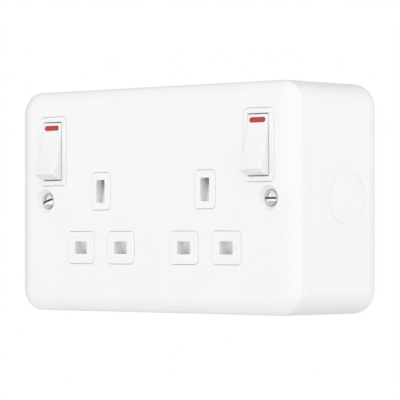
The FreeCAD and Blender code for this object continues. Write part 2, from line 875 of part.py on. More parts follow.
def make_base_screws():
    """Four screws that hold the halves of the housing together."""
    screws = []
    head_back = floor_back + housing_screw_head_height
    for x, z in boss_places():
        screw = join([rod(x, z, housing_screw_radius, housing_screw_end_depth, floor_back),
                      rod(x, z, housing_screw_head, floor_back, head_back)])
        for wide, high in ((cross_half_width, cross_half_length), (cross_half_length, cross_half_width)):
            screw = screw.cut(block(x - wide, x + wide, head_back - cross_depth, head_back + past,
                                    z - high, z + high))
        screws.append(screw)
    return Part.makeCompound(screws)


# Rockers and what rides in them. They are drawn level and then tilted to their rest position.

def tilt_rocker(shape):
    """Turn a piece of a rocker to the off position, with its lower end out."""
    turned_shape = shape.copy()
    turned_shape.rotate(at(0, rocker_pivot_depth, rocker_row), across, -rocker_tilt)
    return turned_shape


def rocker_prism(start, steps, x_low, x_high):
    """Solid with an outline of height above and reach in front of the rocker's pivot."""
    def place(height, reach):
        return at(x_low, rocker_pivot_depth - reach, rocker_row + height)
    return Part.Face(closed_wire(place, start, steps)).extrude(across * (x_high - x_low))


def rocker_section(radius, front_half, front_rise, hollow, back_angle):
    """Outline of the rocker: hollow face, round ends about the pivot and a flat back."""
    front = math.atan2(front_rise, front_half)
    back = -math.radians(back_angle)
    middle = (front + back) / 2.0

    def spot(angle, sign):
        return (sign * radius * math.cos(angle), radius * math.sin(angle))
    return spot(front, 1), [((0.0, front_rise - hollow), spot(front, -1)),
                            (spot(middle, -1), spot(back, -1)), spot(back, 1),
                            (spot(middle, 1), spot(front, 1))]


def lens_slab(x, gap, reach_front, reach_back):
    """Rounded bar with the outline of the neon window."""
    width = lens_length + 2 * gap
    height = lens_height + 2 * gap
    slab = rounded_slab(x, rocker_row + rocker_half_length - lens_from_end, width, height,
                        height / 2.0 - 0.01, rocker_pivot_depth - reach_front,
                        rocker_pivot_depth - reach_back)
    return slab


def lens_face_reach():
    """How far the hollow face stands in front of the pivot at the neon window."""
    curve = (rocker_half_length ** 2 + rocker_hollow ** 2) / (2.0 * rocker_hollow)
    height = rocker_half_length - lens_from_end
    return rocker_rise - rocker_hollow + curve - math.sqrt(curve ** 2 - height ** 2)


def lens_back_reach():
    """How far the neon window's back stands in front of the pivot."""
    return lens_face_reach() + lens_proud - rocker_face_wall - lens_behind


def make_rocker(side):
    """Hollow rocker with two plunger tubes, two trunnions and a window for its lens."""
    x = side * rocker_offset
    start, steps = rocker_section(rocker_radius, rocker_half_length, rocker_rise, rocker_hollow,
                                  rocker_back_angle)
    body = rocker_prism(start, steps, x - rocker_half_width, x + rocker_half_width)
    face_edges = [edge for edge in body.Edges
                  if edge.BoundBox.YMax < rocker_pivot_depth - total_depth - past]
    body = body.makeFillet(rocker_edge, face_edges)
    inner_radius = rocker_radius - rocker_wall
    inner_rise = rocker_rise - rocker_face_wall
    inner_half = math.sqrt(inner_radius ** 2 - inner_rise ** 2)
    start, steps = rocker_section(inner_radius, inner_half, inner_rise, rocker_hollow,
                                  rocker_inside_angle)
    inside = rocker_prism(start, steps, x - rocker_half_width + rocker_wall,
                          x + rocker_half_width - rocker_wall)
    pieces = [body.cut(inside)]
    tube_radius = plunger_radius + plunger_gap + tube_wall
    blind = rocker_pivot_depth + tube_start
    for pole in POLES:
        tube = rod(pole_x(side, pole), rocker_row, tube_radius, blind - rocker_face_wall,
                   rocker_pivot_depth + tube_end)
        pieces.append(tube)
    trunnion_reach = rocker_half_width + trunnion_length
    for sign in (-1, 1):
        low, high = sorted((x + sign * (rocker_half_width - rocker_wall / 2.0),
                            x + sign * trunnion_reach))
        pieces.append(cross_rod(rocker_pivot_depth, rocker_row, trunnion_radius, low, high))
    rocker = join(pieces)
    for pole in POLES:
        rocker = rocker.cut(rod(pole_x(side, pole), rocker_row, plunger_radius + plunger_gap, blind,
                                rocker_pivot_depth + tube_end + past))
    rocker = rocker.cut(lens_slab(x, lens_gap, rocker_rise + past, lens_back_reach() - past))
    return tilt_rocker(rocker)


def make_neon_lens(side):
    """Red window set in the rocker's face."""
    x = side * rocker_offset
    face = lens_face_reach() + lens_proud
    lens = lens_slab(x, 0.0, face, lens_back_reach())
    front = rocker_pivot_depth - face
    return tilt_rocker(soften_front(lens, front, lens_edge))


def make_plunger(side, pole):
    """Round-nosed plunger that presses on a moving contact."""
    nose = plunger_reach - plunger_radius
    quarter = plunger_radius * math.sqrt(0.5)
    base = rocker_pivot_depth
    outline = [(plunger_radius, base + plunger_start), (plunger_radius, base + nose),
               ((quarter, base + nose + quarter), (0, base + plunger_reach))]
    plunger = turned(pole_x(side, pole), rocker_row, (0, base + plunger_start), outline)
    return tilt_rocker(plunger)


def make_plunger_spring(side, pole):
    """Coil spring between a tube's blind end and its plunger."""
    start = at(pole_x(side, pole), rocker_pivot_depth + tube_start, rocker_row)
    spring = coil(start, inward, plunger_spring_radius - plunger_wire, plunger_wire,
                  plunger_start - tube_start, plunger_spring_turns)
    return tilt_rocker(spring)


def make_moving_contact(side, pole):
    """Shallow bent contact that rocks on its post, with a button at its upper end."""
    x = pole_x(side, pole)
    bend = math.radians(blade_bend)
    along = (math.cos(bend), math.sin(bend))

    def spot(reach, lift, sign):
        depth = blade_pivot_depth - reach * along[1] - lift * along[0]
        return (depth, rocker_row + sign * (reach * along[0] - lift * along[1]))
    valley = (blade_pivot_depth - blade_sheet / along[0], rocker_row)
    outline = [spot(blade_arm, 0, 1), spot(blade_arm, blade_sheet, 1), valley,
               spot(blade_arm, blade_sheet, -1), spot(blade_arm, 0, -1)]
    blade = side_prism((blade_pivot_depth, rocker_row), outline, x - blade_width / 2.0,
                       x + blade_width / 2.0)
    seat_depth, seat_row = spot(button_arm, 0, 1)
    button = Part.makeCylinder(button_radius, button_height, at(x, seat_depth, seat_row),
                               FreeCAD.Vector(0, along[0], along[1]))
    contact = join([blade, button])
    contact = contact.cut(cross_rod(blade_pivot_depth, rocker_row, fulcrum_sheet / 2.0 + fulcrum_gap,
                                    x - blade_width, x + blade_width))
    contact.rotate(at(0, blade_pivot_depth, rocker_row), across, blade_tilt)
    return contact


def make_neon_lamp(side):
    """Small glass lamp that lies behind the rocker's window."""
    x = side * rocker_offset
    half = lamp_length / 2.0 - lamp_radius
    bulb = cross_rod(lamp_depth, lamp_row, lamp_radius, x - half, x + half)
    ends = [Part.makeSphere(lamp_radius, at(x + sign * half, lamp_depth, lamp_row)) for sign in (-1, 1)]
    return join([bulb] + ends)


def make_neon_resistor(side):
    """Resistor of the neon lamp, behind the lamp's shelf."""
    x = side * rocker_offset
    depth = lamp_depth + lamp_radius + lamp_shelf + resistor_radius
    half = resistor_length / 2.0
    body = cross_rod(depth, lamp_row, resistor_radius, x - half, x + half)
    leads = cross_rod(depth, lamp_row, lead_radius, x - half - lead_length, x + half + lead_length)
    return join([body, leads])


# Bars, strips, clips and terminals

def post(x, bar_front):
    """Upright tab whose round edge a moving contact's groove rocks on."""
    low, high = x - blade_width / 2.0, x + blade_width / 2.0
    nose = fulcrum_sheet / 2.0
    tab = block(low, high, blade_pivot_depth, bar_front, rocker_row - nose, rocker_row + nose)
    return join([tab, cross_rod(blade_pivot_depth, rocker_row, nose, low, high)])


def make_live_feed_bar():
    """Bar from the live terminal to both live contacts."""
    reach = live_reach()
    back = feed_bar_depth + bar_sheet
    pieces = [block(-reach, reach, feed_bar_depth, back, live_bar_row - bar_width / 2.0,
                    live_bar_row + bar_width / 2.0)]
    for _, side in SIDES:
        pieces.append(post(pole_x(side, "live"), feed_bar_depth))
    return join(pieces)


def make_neutral_feed_bar():
    """Bar from the neutral terminal to both neutral contacts, with a tab up to each."""
    reach = neutral_reach()
    back = feed_bar_depth + bar_sheet
    pieces = [block(-reach, reach, feed_bar_depth, back, neutral_bar_row - bar_width / 2.0,
                    neutral_bar_row + bar_width / 2.0)]
    for _, side in SIDES:
        x = pole_x(side, "neutral")
        pieces.append(block(x - blade_width / 2.0, x + blade_width / 2.0, feed_bar_depth, back,
                            neutral_bar_row, live_bar_row + bar_width / 2.0))
        pieces.append(post(x, feed_bar_depth))
    return join(pieces)


def pin_clip(x, z, width, heel, turned_upright):
    """Pair of sprung leaves on a heel, open to the front, that grip a pin."""
    inner = [(heel, clip_half_opening), (clip_straight_depth, clip_half_opening),
             (clip_throat_depth, clip_half_throat), (clip_mouth_depth, clip_half_mouth)]
    outer = [(depth, half + bar_sheet) for depth, half in reversed(inner)]
    outer[-1] = (heel, clip_half_opening + bar_sheet)
    leaf = side_prism(inner[0], inner[1:] + outer, -width / 2.0, width / 2.0)
    other = leaf.mirror(FreeCAD.Vector(0, 0, 0), upward)
    half_height = clip_half_opening + bar_sheet
    base = block(-width / 2.0, width / 2.0, heel, heel + bar_sheet, -half_height, half_height)
    clip = join([leaf, other, base])
    if turned_upright:
        clip.rotate(FreeCAD.Vector(0, 0, 0), inward, 90)
    clip.translate(FreeCAD.Vector(x, 0, z))
    return clip


def make_load_contact(side, pole):
    """Strip with the fixed switch contact at one end and the pin clip at the other."""
    route = load_route(side, pole)
    back = floor_depth - strip_clearance
    front = back - bar_sheet
    x = route[0][0]
    half = strip_width / 2.0 - fold_inset
    fold_low = fixed_contact_row + button_radius + fold_gap
    fold_high = fold_low + bar_sheet
    pieces = strip_boxes(route, strip_width, front, back)
    pieces.append(block(x - half, x + half, fixed_contact_depth, front, fold_low, fold_high))
    pieces.append(block(x - half, x + half, fixed_contact_depth, fixed_contact_depth + bar_sheet,
                        fixed_contact_row - button_radius, fold_high))
    pieces.append(rod(x, fixed_contact_row, button_radius, fixed_contact_depth - button_height,
                      fixed_contact_depth))
    pieces.append(pin_clip(route[-1][0], route[-1][1], line_clip_width, front, False))
    return join(pieces)


def make_earth_bar():
    """Bar between the two earth clips."""
    reach = socket_offset - clip_half_opening - bar_sheet
    return block(-reach, reach, earth_bar_depth, earth_bar_depth + bar_sheet,
                 earth_row - bar_width / 2.0, earth_row + bar_width / 2.0)


def make_earth_clip(side):
    """Clip of the earth pin, on the floor of the housing."""
    return pin_clip(side * socket_offset, earth_row, earth_clip_width, floor_depth - bar_sheet, True)


def make_terminal(x, z, front):
    """Brass block with a cable hole and a threaded hole for its screw."""
    half = terminal_size / 2.0
    piece = block(x - half, x + half, front, terminal_back, z - half, z + half)
    hole = cross_rod(cable_hole_depth, z, cable_hole_radius, x - half - past, x + half + past)
    thread = rod(x, z, terminal_screw_radius + thread_gap, cable_hole_depth, terminal_back + past)
    return piece.cut(hole).cut(thread)


def make_terminal_screws():
    """Clamp screws of the four terminals, driven from behind."""
    screws = []
    head_back = terminal_back + terminal_screw_head_height
    for _, x, z, _ in terminal_places():
        shank = rod(x, z, terminal_screw_radius, cable_hole_depth + cable_hole_radius, terminal_back)
        head = rod(x, z, terminal_screw_head, terminal_back, head_back)
        slot = block(x - terminal_size, x + terminal_size, head_back - terminal_slot_depth,
                     head_back + past, z - terminal_slot_half_width, z + terminal_slot_half_width)
        screws.append(join([shank, head]).cut(slot))
    return Part.makeCompound(screws)


# Shutters

def make_shutter(side):
    """Sliding shutter: a bar behind the line slots and a ramped stem behind the earth slot."""
    x = side * socket_offset
    bar = block(x - shutter_half_width, x + shutter_half_width, shutter_front, shutter_back,
                shutter_bottom, bar_top)
    stem = block(x - stem_half_width, x + stem_half_width, shutter_front, shutter_back, bar_top,
                 stem_window_top + stem_head)
    shutter = join([bar, stem])
    low, high = x - stem_window_half_width, x + stem_window_half_width
    shutter = shutter.cut(block(low, high, shutter_front - past, shutter_back + past,
                                stem_window_bottom, stem_window_top))
    ramp_foot = stem_window_bottom - shutter_travel
    ramp_back = shutter_front + earth_ramp
    shutter = shutter.cut(side_prism((shutter_front, ramp_foot), [
        (ramp_back, stem_window_bottom), (ramp_back, stem_window_bottom + ramp_lip),
        (shutter_front, stem_window_bottom + ramp_lip)], low, high))
    notch_top = line_row + line_slot_height / 2.0 + line_notch_over
    notch_foot = line_row - line_slot_height / 2.0 - line_notch_over
    for hand in (-1, 1):
        middle = x + hand * pin_offset
        half = line_slot_width / 2.0 + line_notch_side
        shutter = shutter.cut(side_prism((shutter_front, notch_top), [
            (shutter_front + line_ramp, notch_foot), (shutter_front, notch_foot)], middle - half,
            middle + half))
    slot = block(x - stem_slot_half_width, x + stem_slot_half_width, shutter_front - past,
                 shutter_back + past, stem_slot_bottom, stem_slot_top)
    return shutter.cut(slot)


def make_shutter_spring(side):
    """Coil spring that lifts the shutter, from its post to the top of the stem's slot."""
    start = at(side * socket_offset, (shutter_front + shutter_back) / 2.0, post_top)
    return coil(start, upward, shutter_spring_radius - shutter_wire, shutter_wire,
                stem_slot_top - post_top, shutter_spring_turns)


def make_all():
    """Every piece of the object by its node's name."""
    nodes = {
        "front_plate": make_front_plate(),
        "plate_nuts": make_plate_nuts(),
        "back_box": make_back_box(),
        "box_earth_terminal": make_box_earth_terminal(),
        "box_earth_screw": make_box_earth_screw(),
        "left_plate_screw": make_plate_screw(-1, left_slot_angle),
        "right_plate_screw": make_plate_screw(1, right_slot_angle),
        "socket_front": make_socket_front(),
        "socket_base": make_socket_base(),
        "base_screws": make_base_screws(),
        "live_feed_bar": make_live_feed_bar(),
        "neutral_feed_bar": make_neutral_feed_bar(),
        "earth_bar": make_earth_bar(),
        "terminal_screws": make_terminal_screws(),
    }
    for name, x, z, front in terminal_places():
        nodes[name] = make_terminal(x, z, front)
    for name, side in SIDES:
        nodes[name + "_fixing_lug"] = make_fixing_lug(side)
        nodes[name + "_rocker"] = make_rocker(side)
        nodes[name + "_neon_lens"] = make_neon_lens(side)
        nodes[name + "_neon_lamp"] = make_neon_lamp(side)
        nodes[name + "_neon_resistor"] = make_neon_resistor(side)
        nodes[name + "_earth_clip"] = make_earth_clip(side)
        nodes[name + "_shutter"] = make_shutter(side)
        nodes[name + "_shutter_spring"] = make_shutter_spring(side)
        for pole in POLES:
            nodes[name + "_" + pole + "_plunger"] = make_plunger(side, pole)
            nodes[name + "_" + pole + "_plunger_spring"] = make_plunger_spring(side, pole)
            nodes[name + "_" + pole + "_moving_contact"] = make_moving_contact(side, pole)
            nodes[name + "_" + pole + "_load_contact"] = make_load_contact(side, pole)
    return nodes


os.makedirs("parts", exist_ok=True)
for node, shape in make_all().items():
    if not shape.isValid():
        print("not valid:", node)
    shape.exportStep("parts/" + node + ".step")
    print(node, len(shape.Solids), round(shape.Volume, 2))
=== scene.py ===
"""Looks of a white twin mains socket on a metal wall box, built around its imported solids."""
import json
import logging
import math
from dataclasses import dataclass
from enum import Enum
from typing import Sequence

import bmesh
import bpy
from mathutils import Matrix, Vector

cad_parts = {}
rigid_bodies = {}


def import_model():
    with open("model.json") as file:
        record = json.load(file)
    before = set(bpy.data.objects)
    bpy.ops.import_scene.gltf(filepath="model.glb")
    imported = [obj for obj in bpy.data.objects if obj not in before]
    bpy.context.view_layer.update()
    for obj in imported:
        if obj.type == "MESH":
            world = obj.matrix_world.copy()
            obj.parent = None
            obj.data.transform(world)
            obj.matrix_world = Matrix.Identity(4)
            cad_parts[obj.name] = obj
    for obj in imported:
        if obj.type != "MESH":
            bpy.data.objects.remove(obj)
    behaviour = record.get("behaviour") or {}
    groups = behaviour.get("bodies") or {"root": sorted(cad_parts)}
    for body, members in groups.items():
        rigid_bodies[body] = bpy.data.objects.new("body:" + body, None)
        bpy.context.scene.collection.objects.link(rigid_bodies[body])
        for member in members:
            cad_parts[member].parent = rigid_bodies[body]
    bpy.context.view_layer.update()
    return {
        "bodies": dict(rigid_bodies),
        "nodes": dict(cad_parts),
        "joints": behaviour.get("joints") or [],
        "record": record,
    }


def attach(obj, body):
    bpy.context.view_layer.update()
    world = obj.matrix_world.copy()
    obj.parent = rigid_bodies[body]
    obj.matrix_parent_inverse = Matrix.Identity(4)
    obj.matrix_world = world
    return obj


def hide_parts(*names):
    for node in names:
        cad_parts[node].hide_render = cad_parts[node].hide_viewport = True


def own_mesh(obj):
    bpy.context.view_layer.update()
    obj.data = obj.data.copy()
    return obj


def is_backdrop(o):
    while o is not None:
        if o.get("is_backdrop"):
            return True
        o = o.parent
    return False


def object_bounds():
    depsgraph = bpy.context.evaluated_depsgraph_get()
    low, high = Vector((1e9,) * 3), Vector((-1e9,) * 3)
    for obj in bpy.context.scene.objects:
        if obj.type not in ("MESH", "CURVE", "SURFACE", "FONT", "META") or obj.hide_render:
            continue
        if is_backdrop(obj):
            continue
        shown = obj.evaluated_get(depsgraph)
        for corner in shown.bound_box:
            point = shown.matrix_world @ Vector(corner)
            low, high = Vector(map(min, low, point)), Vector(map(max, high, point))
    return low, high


LOG = logging.getLogger("socket")
MM = 0.001
SIDES = ("left", "right")

# Points nearer than this are one point
SAME_POINT = 0.001 * MM
# Boxes whose X agrees to this many digits stand in one column
COLUMN_DIGITS = 5
# Least angle of a sharp edge
CREASE = math.radians(35.0)
# Values that noise seldom leaves
NOISE_LOW = 0.3
NOISE_HIGH = 0.7
# Attributes of the screws' meshes and of the points that they grow from: painted shadow at the heads'
# rims, painted shade in their slots, and the turn of each seed
RIM_SHADOW = "rim_painted_shadow"
SLOT_SHADE = "slot_painted_shade"
TURN = "turn"
# Rows of faces of a screw, over its dome and over its rim, cone and tip
DOME_ROWS = 8
PLAIN_ROWS = 3


class Body(Enum):
    """Bodies that the new pieces ride on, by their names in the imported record."""

    HOUSING = "housing"
    LEFT_ROCKER = "left_rocker"
    RIGHT_ROCKER = "right_rocker"
    LEFT_SHUTTER = "left_shutter"
    RIGHT_SHUTTER = "right_shutter"


class Face(Enum):
    """Side from which a screw is driven."""

    FRONT = 0.0
    BACK = math.pi


class Slot(Enum):
    """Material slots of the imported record."""

    PAINT = "white_paint"
    WHITE = "white_moulding"
    BASE = "base_moulding"
    GREY = "grey_moulding"
    BRIGHT = "bright_plate"
    LENS = "red_lens"
    GLASS = "lamp_glass"
    RESISTOR = "resistor_body"
    STEEL = "steel"
    BRASS = "contact_brass"


class ShaderTree:
    """Small builder for the node tree of one material."""

    def __init__(self, name: str) -> None:
        """Start a material with one principled shader.

        Args:
            name: Name of the material.
        """
        self.material = bpy.data.materials.new(name)
        self.material.use_nodes = True
        self.nodes = self.material.node_tree.nodes
        self.links = self.material.node_tree.links
        self.shader = self.nodes["Principled BSDF"]
        self.place = self.nodes.new("ShaderNodeTexCoord").outputs["Object"]

    def noise(self, size: float, detail: float = 2.0, roughness: float = 0.5) -> bpy.types.NodeSocket:
        """Noise over the piece.

        Args:
            size: Width of its blotches in metres.
            detail: Number of finer layers.
            roughness: Strength of the finer layers.

        Returns:
            The noise's value socket.
        """
        node = self.nodes.new("ShaderNodeTexNoise")
        node.inputs["Scale"].default_value = 1.0 / size
        node.inputs["Detail"].default_value = detail
        node.inputs["Roughness"].default_value = roughness
        self.links.new(self.place, node.inputs["Vector"])
        return node.outputs["Fac"]

    def spread(self, source: bpy.types.NodeSocket, low: float, high: float) -> bpy.types.NodeSocket:
        """Stretch a noise value to a range.

        Args:
            source: Socket that gives 0 to 1.
            low: Value for a low noise.
            high: Value for a high noise.

        Returns:
            Socket with the stretched value.
        """
        node = self.nodes.new("ShaderNodeMapRange")
        node.inputs["From Min"].default_value = NOISE_LOW
        node.inputs["From Max"].default_value = NOISE_HIGH
        node.inputs["To Min"].default_value = low
        node.inputs["To Max"].default_value = high
        self.links.new(source, node.inputs["Value"])
        return node.outputs["Result"]

    def tint(self, source: bpy.types.NodeSocket, first: Sequence[float],
             second: Sequence[float]) -> None:
        """Vary the base colour between two colours.

        Args:
            source: Socket that gives 0 to 1.
            first: Colour at 0.
            second: Colour at 1.
        """
        mix = self.nodes.new("ShaderNodeMix")
        mix.data_type = "RGBA"
        mix.inputs["A"].default_value = (*first, 1.0)
        mix.inputs["B"].default_value = (*second, 1.0)
        self.links.new(source, mix.inputs["Factor"])
        self.links.new(mix.outputs["Result"], self.shader.inputs["Base Color"])

    def paint_shade(self, layers: Sequence[str], colour: Sequence[float]) -> None:
        """Paint shade into the base colour where the piece's own attributes say so.

        Args:
            layers: Names of the attributes, 0 where the piece has none.
            colour: Colour of the painted shade.
        """
        for layer in layers:
            mark = self.nodes.new("ShaderNodeAttribute")
            mark.attribute_name = layer
            mix = self.nodes.new("ShaderNodeMix")
            mix.data_type = "RGBA"
            under = self.shader.inputs["Base Color"].links[0].from_socket
            self.links.new(under, mix.inputs["A"])
            mix.inputs["B"].default_value = (*colour, 1.0)
            self.links.new(mark.outputs["Fac"], mix.inputs["Factor"])
            self.links.new(mix.outputs["Result"], self.shader.inputs["Base Color"])

    def rough(self, source: bpy.types.NodeSocket) -> None:
        """Drive the roughness.

        Args:
            source: Socket with the roughness.
        """
        self.links.new(source, self.shader.inputs["Roughness"])

    def bump(self, source: bpy.types.NodeSocket, height: float, strength: float) -> None:
        """Give the surface a fine relief.

        Args:
            source: Socket with the relief, 0 to 1.
            height: Height of the relief in metres.
            strength: Share of the relief that shows.
        """
        node = self.nodes.new("ShaderNodeBump")
        node.inputs["Distance"].default_value = height
        node.inputs["Strength"].default_value = strength
        self.links.new(source, node.inputs["Height"])
        self.links.new(node.outputs["Normal"], self.shader.inputs["Normal"])

    def set(self, **values: float) -> None:
        """Set plain sockets of the shader.

        Args:
            **values: Socket names with underscores for spaces.
        """
        for name, value in values.items():
            self.shader.inputs[name.replace("_", " ")].default_value = value


@dataclass(frozen=True)
class PowderCoat:
    """White powder coat on pressed steel, with a faint orange peel."""

    colour: tuple[float, float, float] = (0.915, 0.915, 0.915)
    shade: tuple[float, float, float] = (0.895, 0.895, 0.897)
    roughness: tuple[float, float] = (0.29, 0.36)
    blotch_size: float = 18.0 * MM
    sheen_size: float = 5.0 * MM
    peel_size: float = 1.6 * MM
    peel_height: float = 0.012 * MM
    peel_strength: float = 0.6
    refraction: float = 1.5

    def build(self) -> bpy.types.Material:
        """Make the coat.

        Returns:
            The material.
        """
        tree = ShaderTree("white_powder_coat")
        tree.tint(tree.noise(self.blotch_size, detail=3.0), self.colour, self.shade)
        tree.rough(tree.spread(tree.noise(self.sheen_size), *self.roughness))
        tree.bump(tree.noise(self.peel_size, detail=1.0), self.peel_height, self.peel_strength)
        tree.set(IOR=self.refraction)
        return tree.material


@dataclass(frozen=True)
class Moulding:
    """Moulded thermoset or thermoplastic."""

    name: str
    colour: tuple[float, float, float]
    shade: tuple[float, float, float]
    roughness: tuple[float, float]
    blotch_size: float = 7.0 * MM
    sheen_size: float = 2.0 * MM
    grain_size: float = 0.5 * MM
    grain_height: float = 0.004 * MM
    grain_strength: float = 0.5
    refraction: float = 1.5
    glow_through: float = 0.0
    glow_depth: float = 1.0 * MM
    glow_reach: tuple[float, float, float] = (1.0, 0.97, 0.95)

    def build(self) -> bpy.types.Material:
        """Make the plastic.

        Returns:
            The material.
        """
        tree = ShaderTree(self.name)
        tree.tint(tree.noise(self.blotch_size), self.colour, self.shade)
        tree.rough(tree.spread(tree.noise(self.sheen_size), *self.roughness))
        tree.bump(tree.noise(self.grain_size), self.grain_height, self.grain_strength)
        tree.set(IOR=self.refraction)
        if self.glow_through > 0:
            tree.set(Subsurface_Weight=self.glow_through, Subsurface_Scale=self.glow_depth)
            tree.shader.inputs["Subsurface Radius"].default_value = self.glow_reach
        return tree.material


@dataclass(frozen=True)
class Metal:
    """Plated or plain metal with fine wear; on screws, painted shadow at the rims and painted shade in
    the slots.
    """

    name: str
    colour: tuple[float, float, float]
    shade: tuple[float, float, float]
    roughness: tuple[float, float]
    polish_size: float = 0.6 * MM
    wear_size: float = 1.2 * MM
    wear_height: float = 0.01 * MM
    wear_strength: float = 0.5
    # Near-black colour of the painted shadow at screw rims and the painted shade in screw slots
    painted_shade: tuple[float, float, float] = (0.03, 0.03, 0.032)

    def build(self) -> bpy.types.Material:
        """Make the metal.

        Returns:
            The material.
        """
        tree = ShaderTree(self.name)
        wear = tree.noise(self.wear_size, detail=4.0, roughness=0.6)
        tree.tint(wear, self.colour, self.shade)
        # Painted shadow round the heads' rims and painted shade in their slots, from the screws' own
        # attributes
        tree.paint_shade((RIM_SHADOW, SLOT_SHADE), self.painted_shade)
        tree.rough(tree.spread(tree.noise(self.polish_size, detail=3.0), *self.roughness))
        tree.bump(wear, self.wear_height, self.wear_strength)
        tree.set(Metallic=1.0)
        return tree.material


@dataclass(frozen=True)
class ClearRed:
    """Red transparent plastic of the neon window."""

    colour: tuple[float, float, float] = (0.62, 0.034, 0.036)
    shade: tuple[float, float, float] = (0.52, 0.026, 0.030)
    roughness: tuple[float, float] = (0.12, 0.17)
    blotch_size: float = 1.5 * MM
    sheen_size: float = 1.0 * MM
    ripple_size: float = 0.8 * MM
    ripple_height: float = 0.004 * MM
    ripple_strength: float = 0.4
    refraction: float = 1.49
    clearness: float = 0.15

    def build(self) -> bpy.types.Material:
        """Make the red plastic.

        Returns:
            The material.
        """
        tree = ShaderTree("clear_red")
        tree.tint(tree.noise(self.blotch_size), self.colour, self.shade)
        tree.rough(tree.spread(tree.noise(self.sheen_size), *self.roughness))
        tree.bump(tree.noise(self.ripple_size, detail=1.0), self.ripple_height, self.ripple_strength)
        tree.set(IOR=self.refraction, Transmission_Weight=self.clearness)
        return tree.material


@dataclass(frozen=True)
class LampGlass:
    """Clear glass of the neon lamps."""

    colour: tuple[float, float, float] = (0.96, 0.93, 0.9)
    shade: tuple[float, float, float] = (0.92, 0.88, 0.84)
    roughness: float = 0.04
    blotch_size: float = 2.0 * MM
    ripple_size: float = 1.5 * MM
    ripple_height: float = 0.01 * MM
    ripple_strength: float = 0.3
    refraction: float = 1.5
    clearness: float = 0.9

    def build(self) -> bpy.types.Material:
        """Make the glass.

        Returns:
            The material.
        """
        tree = ShaderTree("lamp_glass")
        tree.tint(tree.noise(self.blotch_size), self.colour, self.shade)
        tree.bump(tree.noise(self.ripple_size, detail=1.0), self.ripple_height, self.ripple_strength)
        tree.set(Transmission_Weight=self.clearness, Roughness=self.roughness, IOR=self.refraction)
        return tree.material


class Finishes:
    """Every finish of the object, made once."""

    def __init__(self) -> None:
        """Make the materials."""
        finishes = {
            Slot.PAINT: PowderCoat(),
            Slot.WHITE: Moulding("white_moulding", colour=(0.905, 0.903, 0.911),
                                 shade=(0.89, 0.888, 0.896), roughness=(0.17, 0.25), glow_through=0.2),
            Slot.BASE: Moulding("base_moulding", colour=(0.83, 0.83, 0.8), shade=(0.79, 0.79, 0.76),
                                roughness=(0.42, 0.50)),
            Slot.GREY: Moulding("grey_moulding", colour=(0.92, 0.925, 0.93), shade=(0.89, 0.895, 0.90),
                                roughness=(0.32, 0.40)),
            Slot.BRIGHT: Metal("bright_plate", colour=(0.80, 0.80, 0.81), shade=(0.68, 0.68, 0.69),
                               roughness=(0.07, 0.19), wear_height=0.003 * MM),
            Slot.LENS: ClearRed(),
            Slot.GLASS: LampGlass(),
            Slot.RESISTOR: Moulding("resistor_lacquer", colour=(0.62, 0.42, 0.2),
                                    shade=(0.55, 0.36, 0.17), roughness=(0.32, 0.40)),
            Slot.STEEL: Metal("zinc_steel", colour=(0.6, 0.61, 0.63), shade=(0.46, 0.47, 0.5),
                              roughness=(0.30, 0.42)),
            Slot.BRASS: Metal("contact_brass", colour=(0.75, 0.55, 0.24), shade=(0.62, 0.43, 0.17),
                              roughness=(0.28, 0.40)),
        }
        self.by_slot: dict[Slot, bpy.types.Material] = {
            slot: finish.build() for slot, finish in finishes.items()}

    def dress(self, piece: bpy.types.Object, slot: Slot) -> None:
        """Give a piece one finish all over.

        Args:
            piece: Mesh object.
            slot: Material slot whose finish it takes.
        """
        piece.data.materials.clear()
        piece.data.materials.append(self.by_slot[slot])


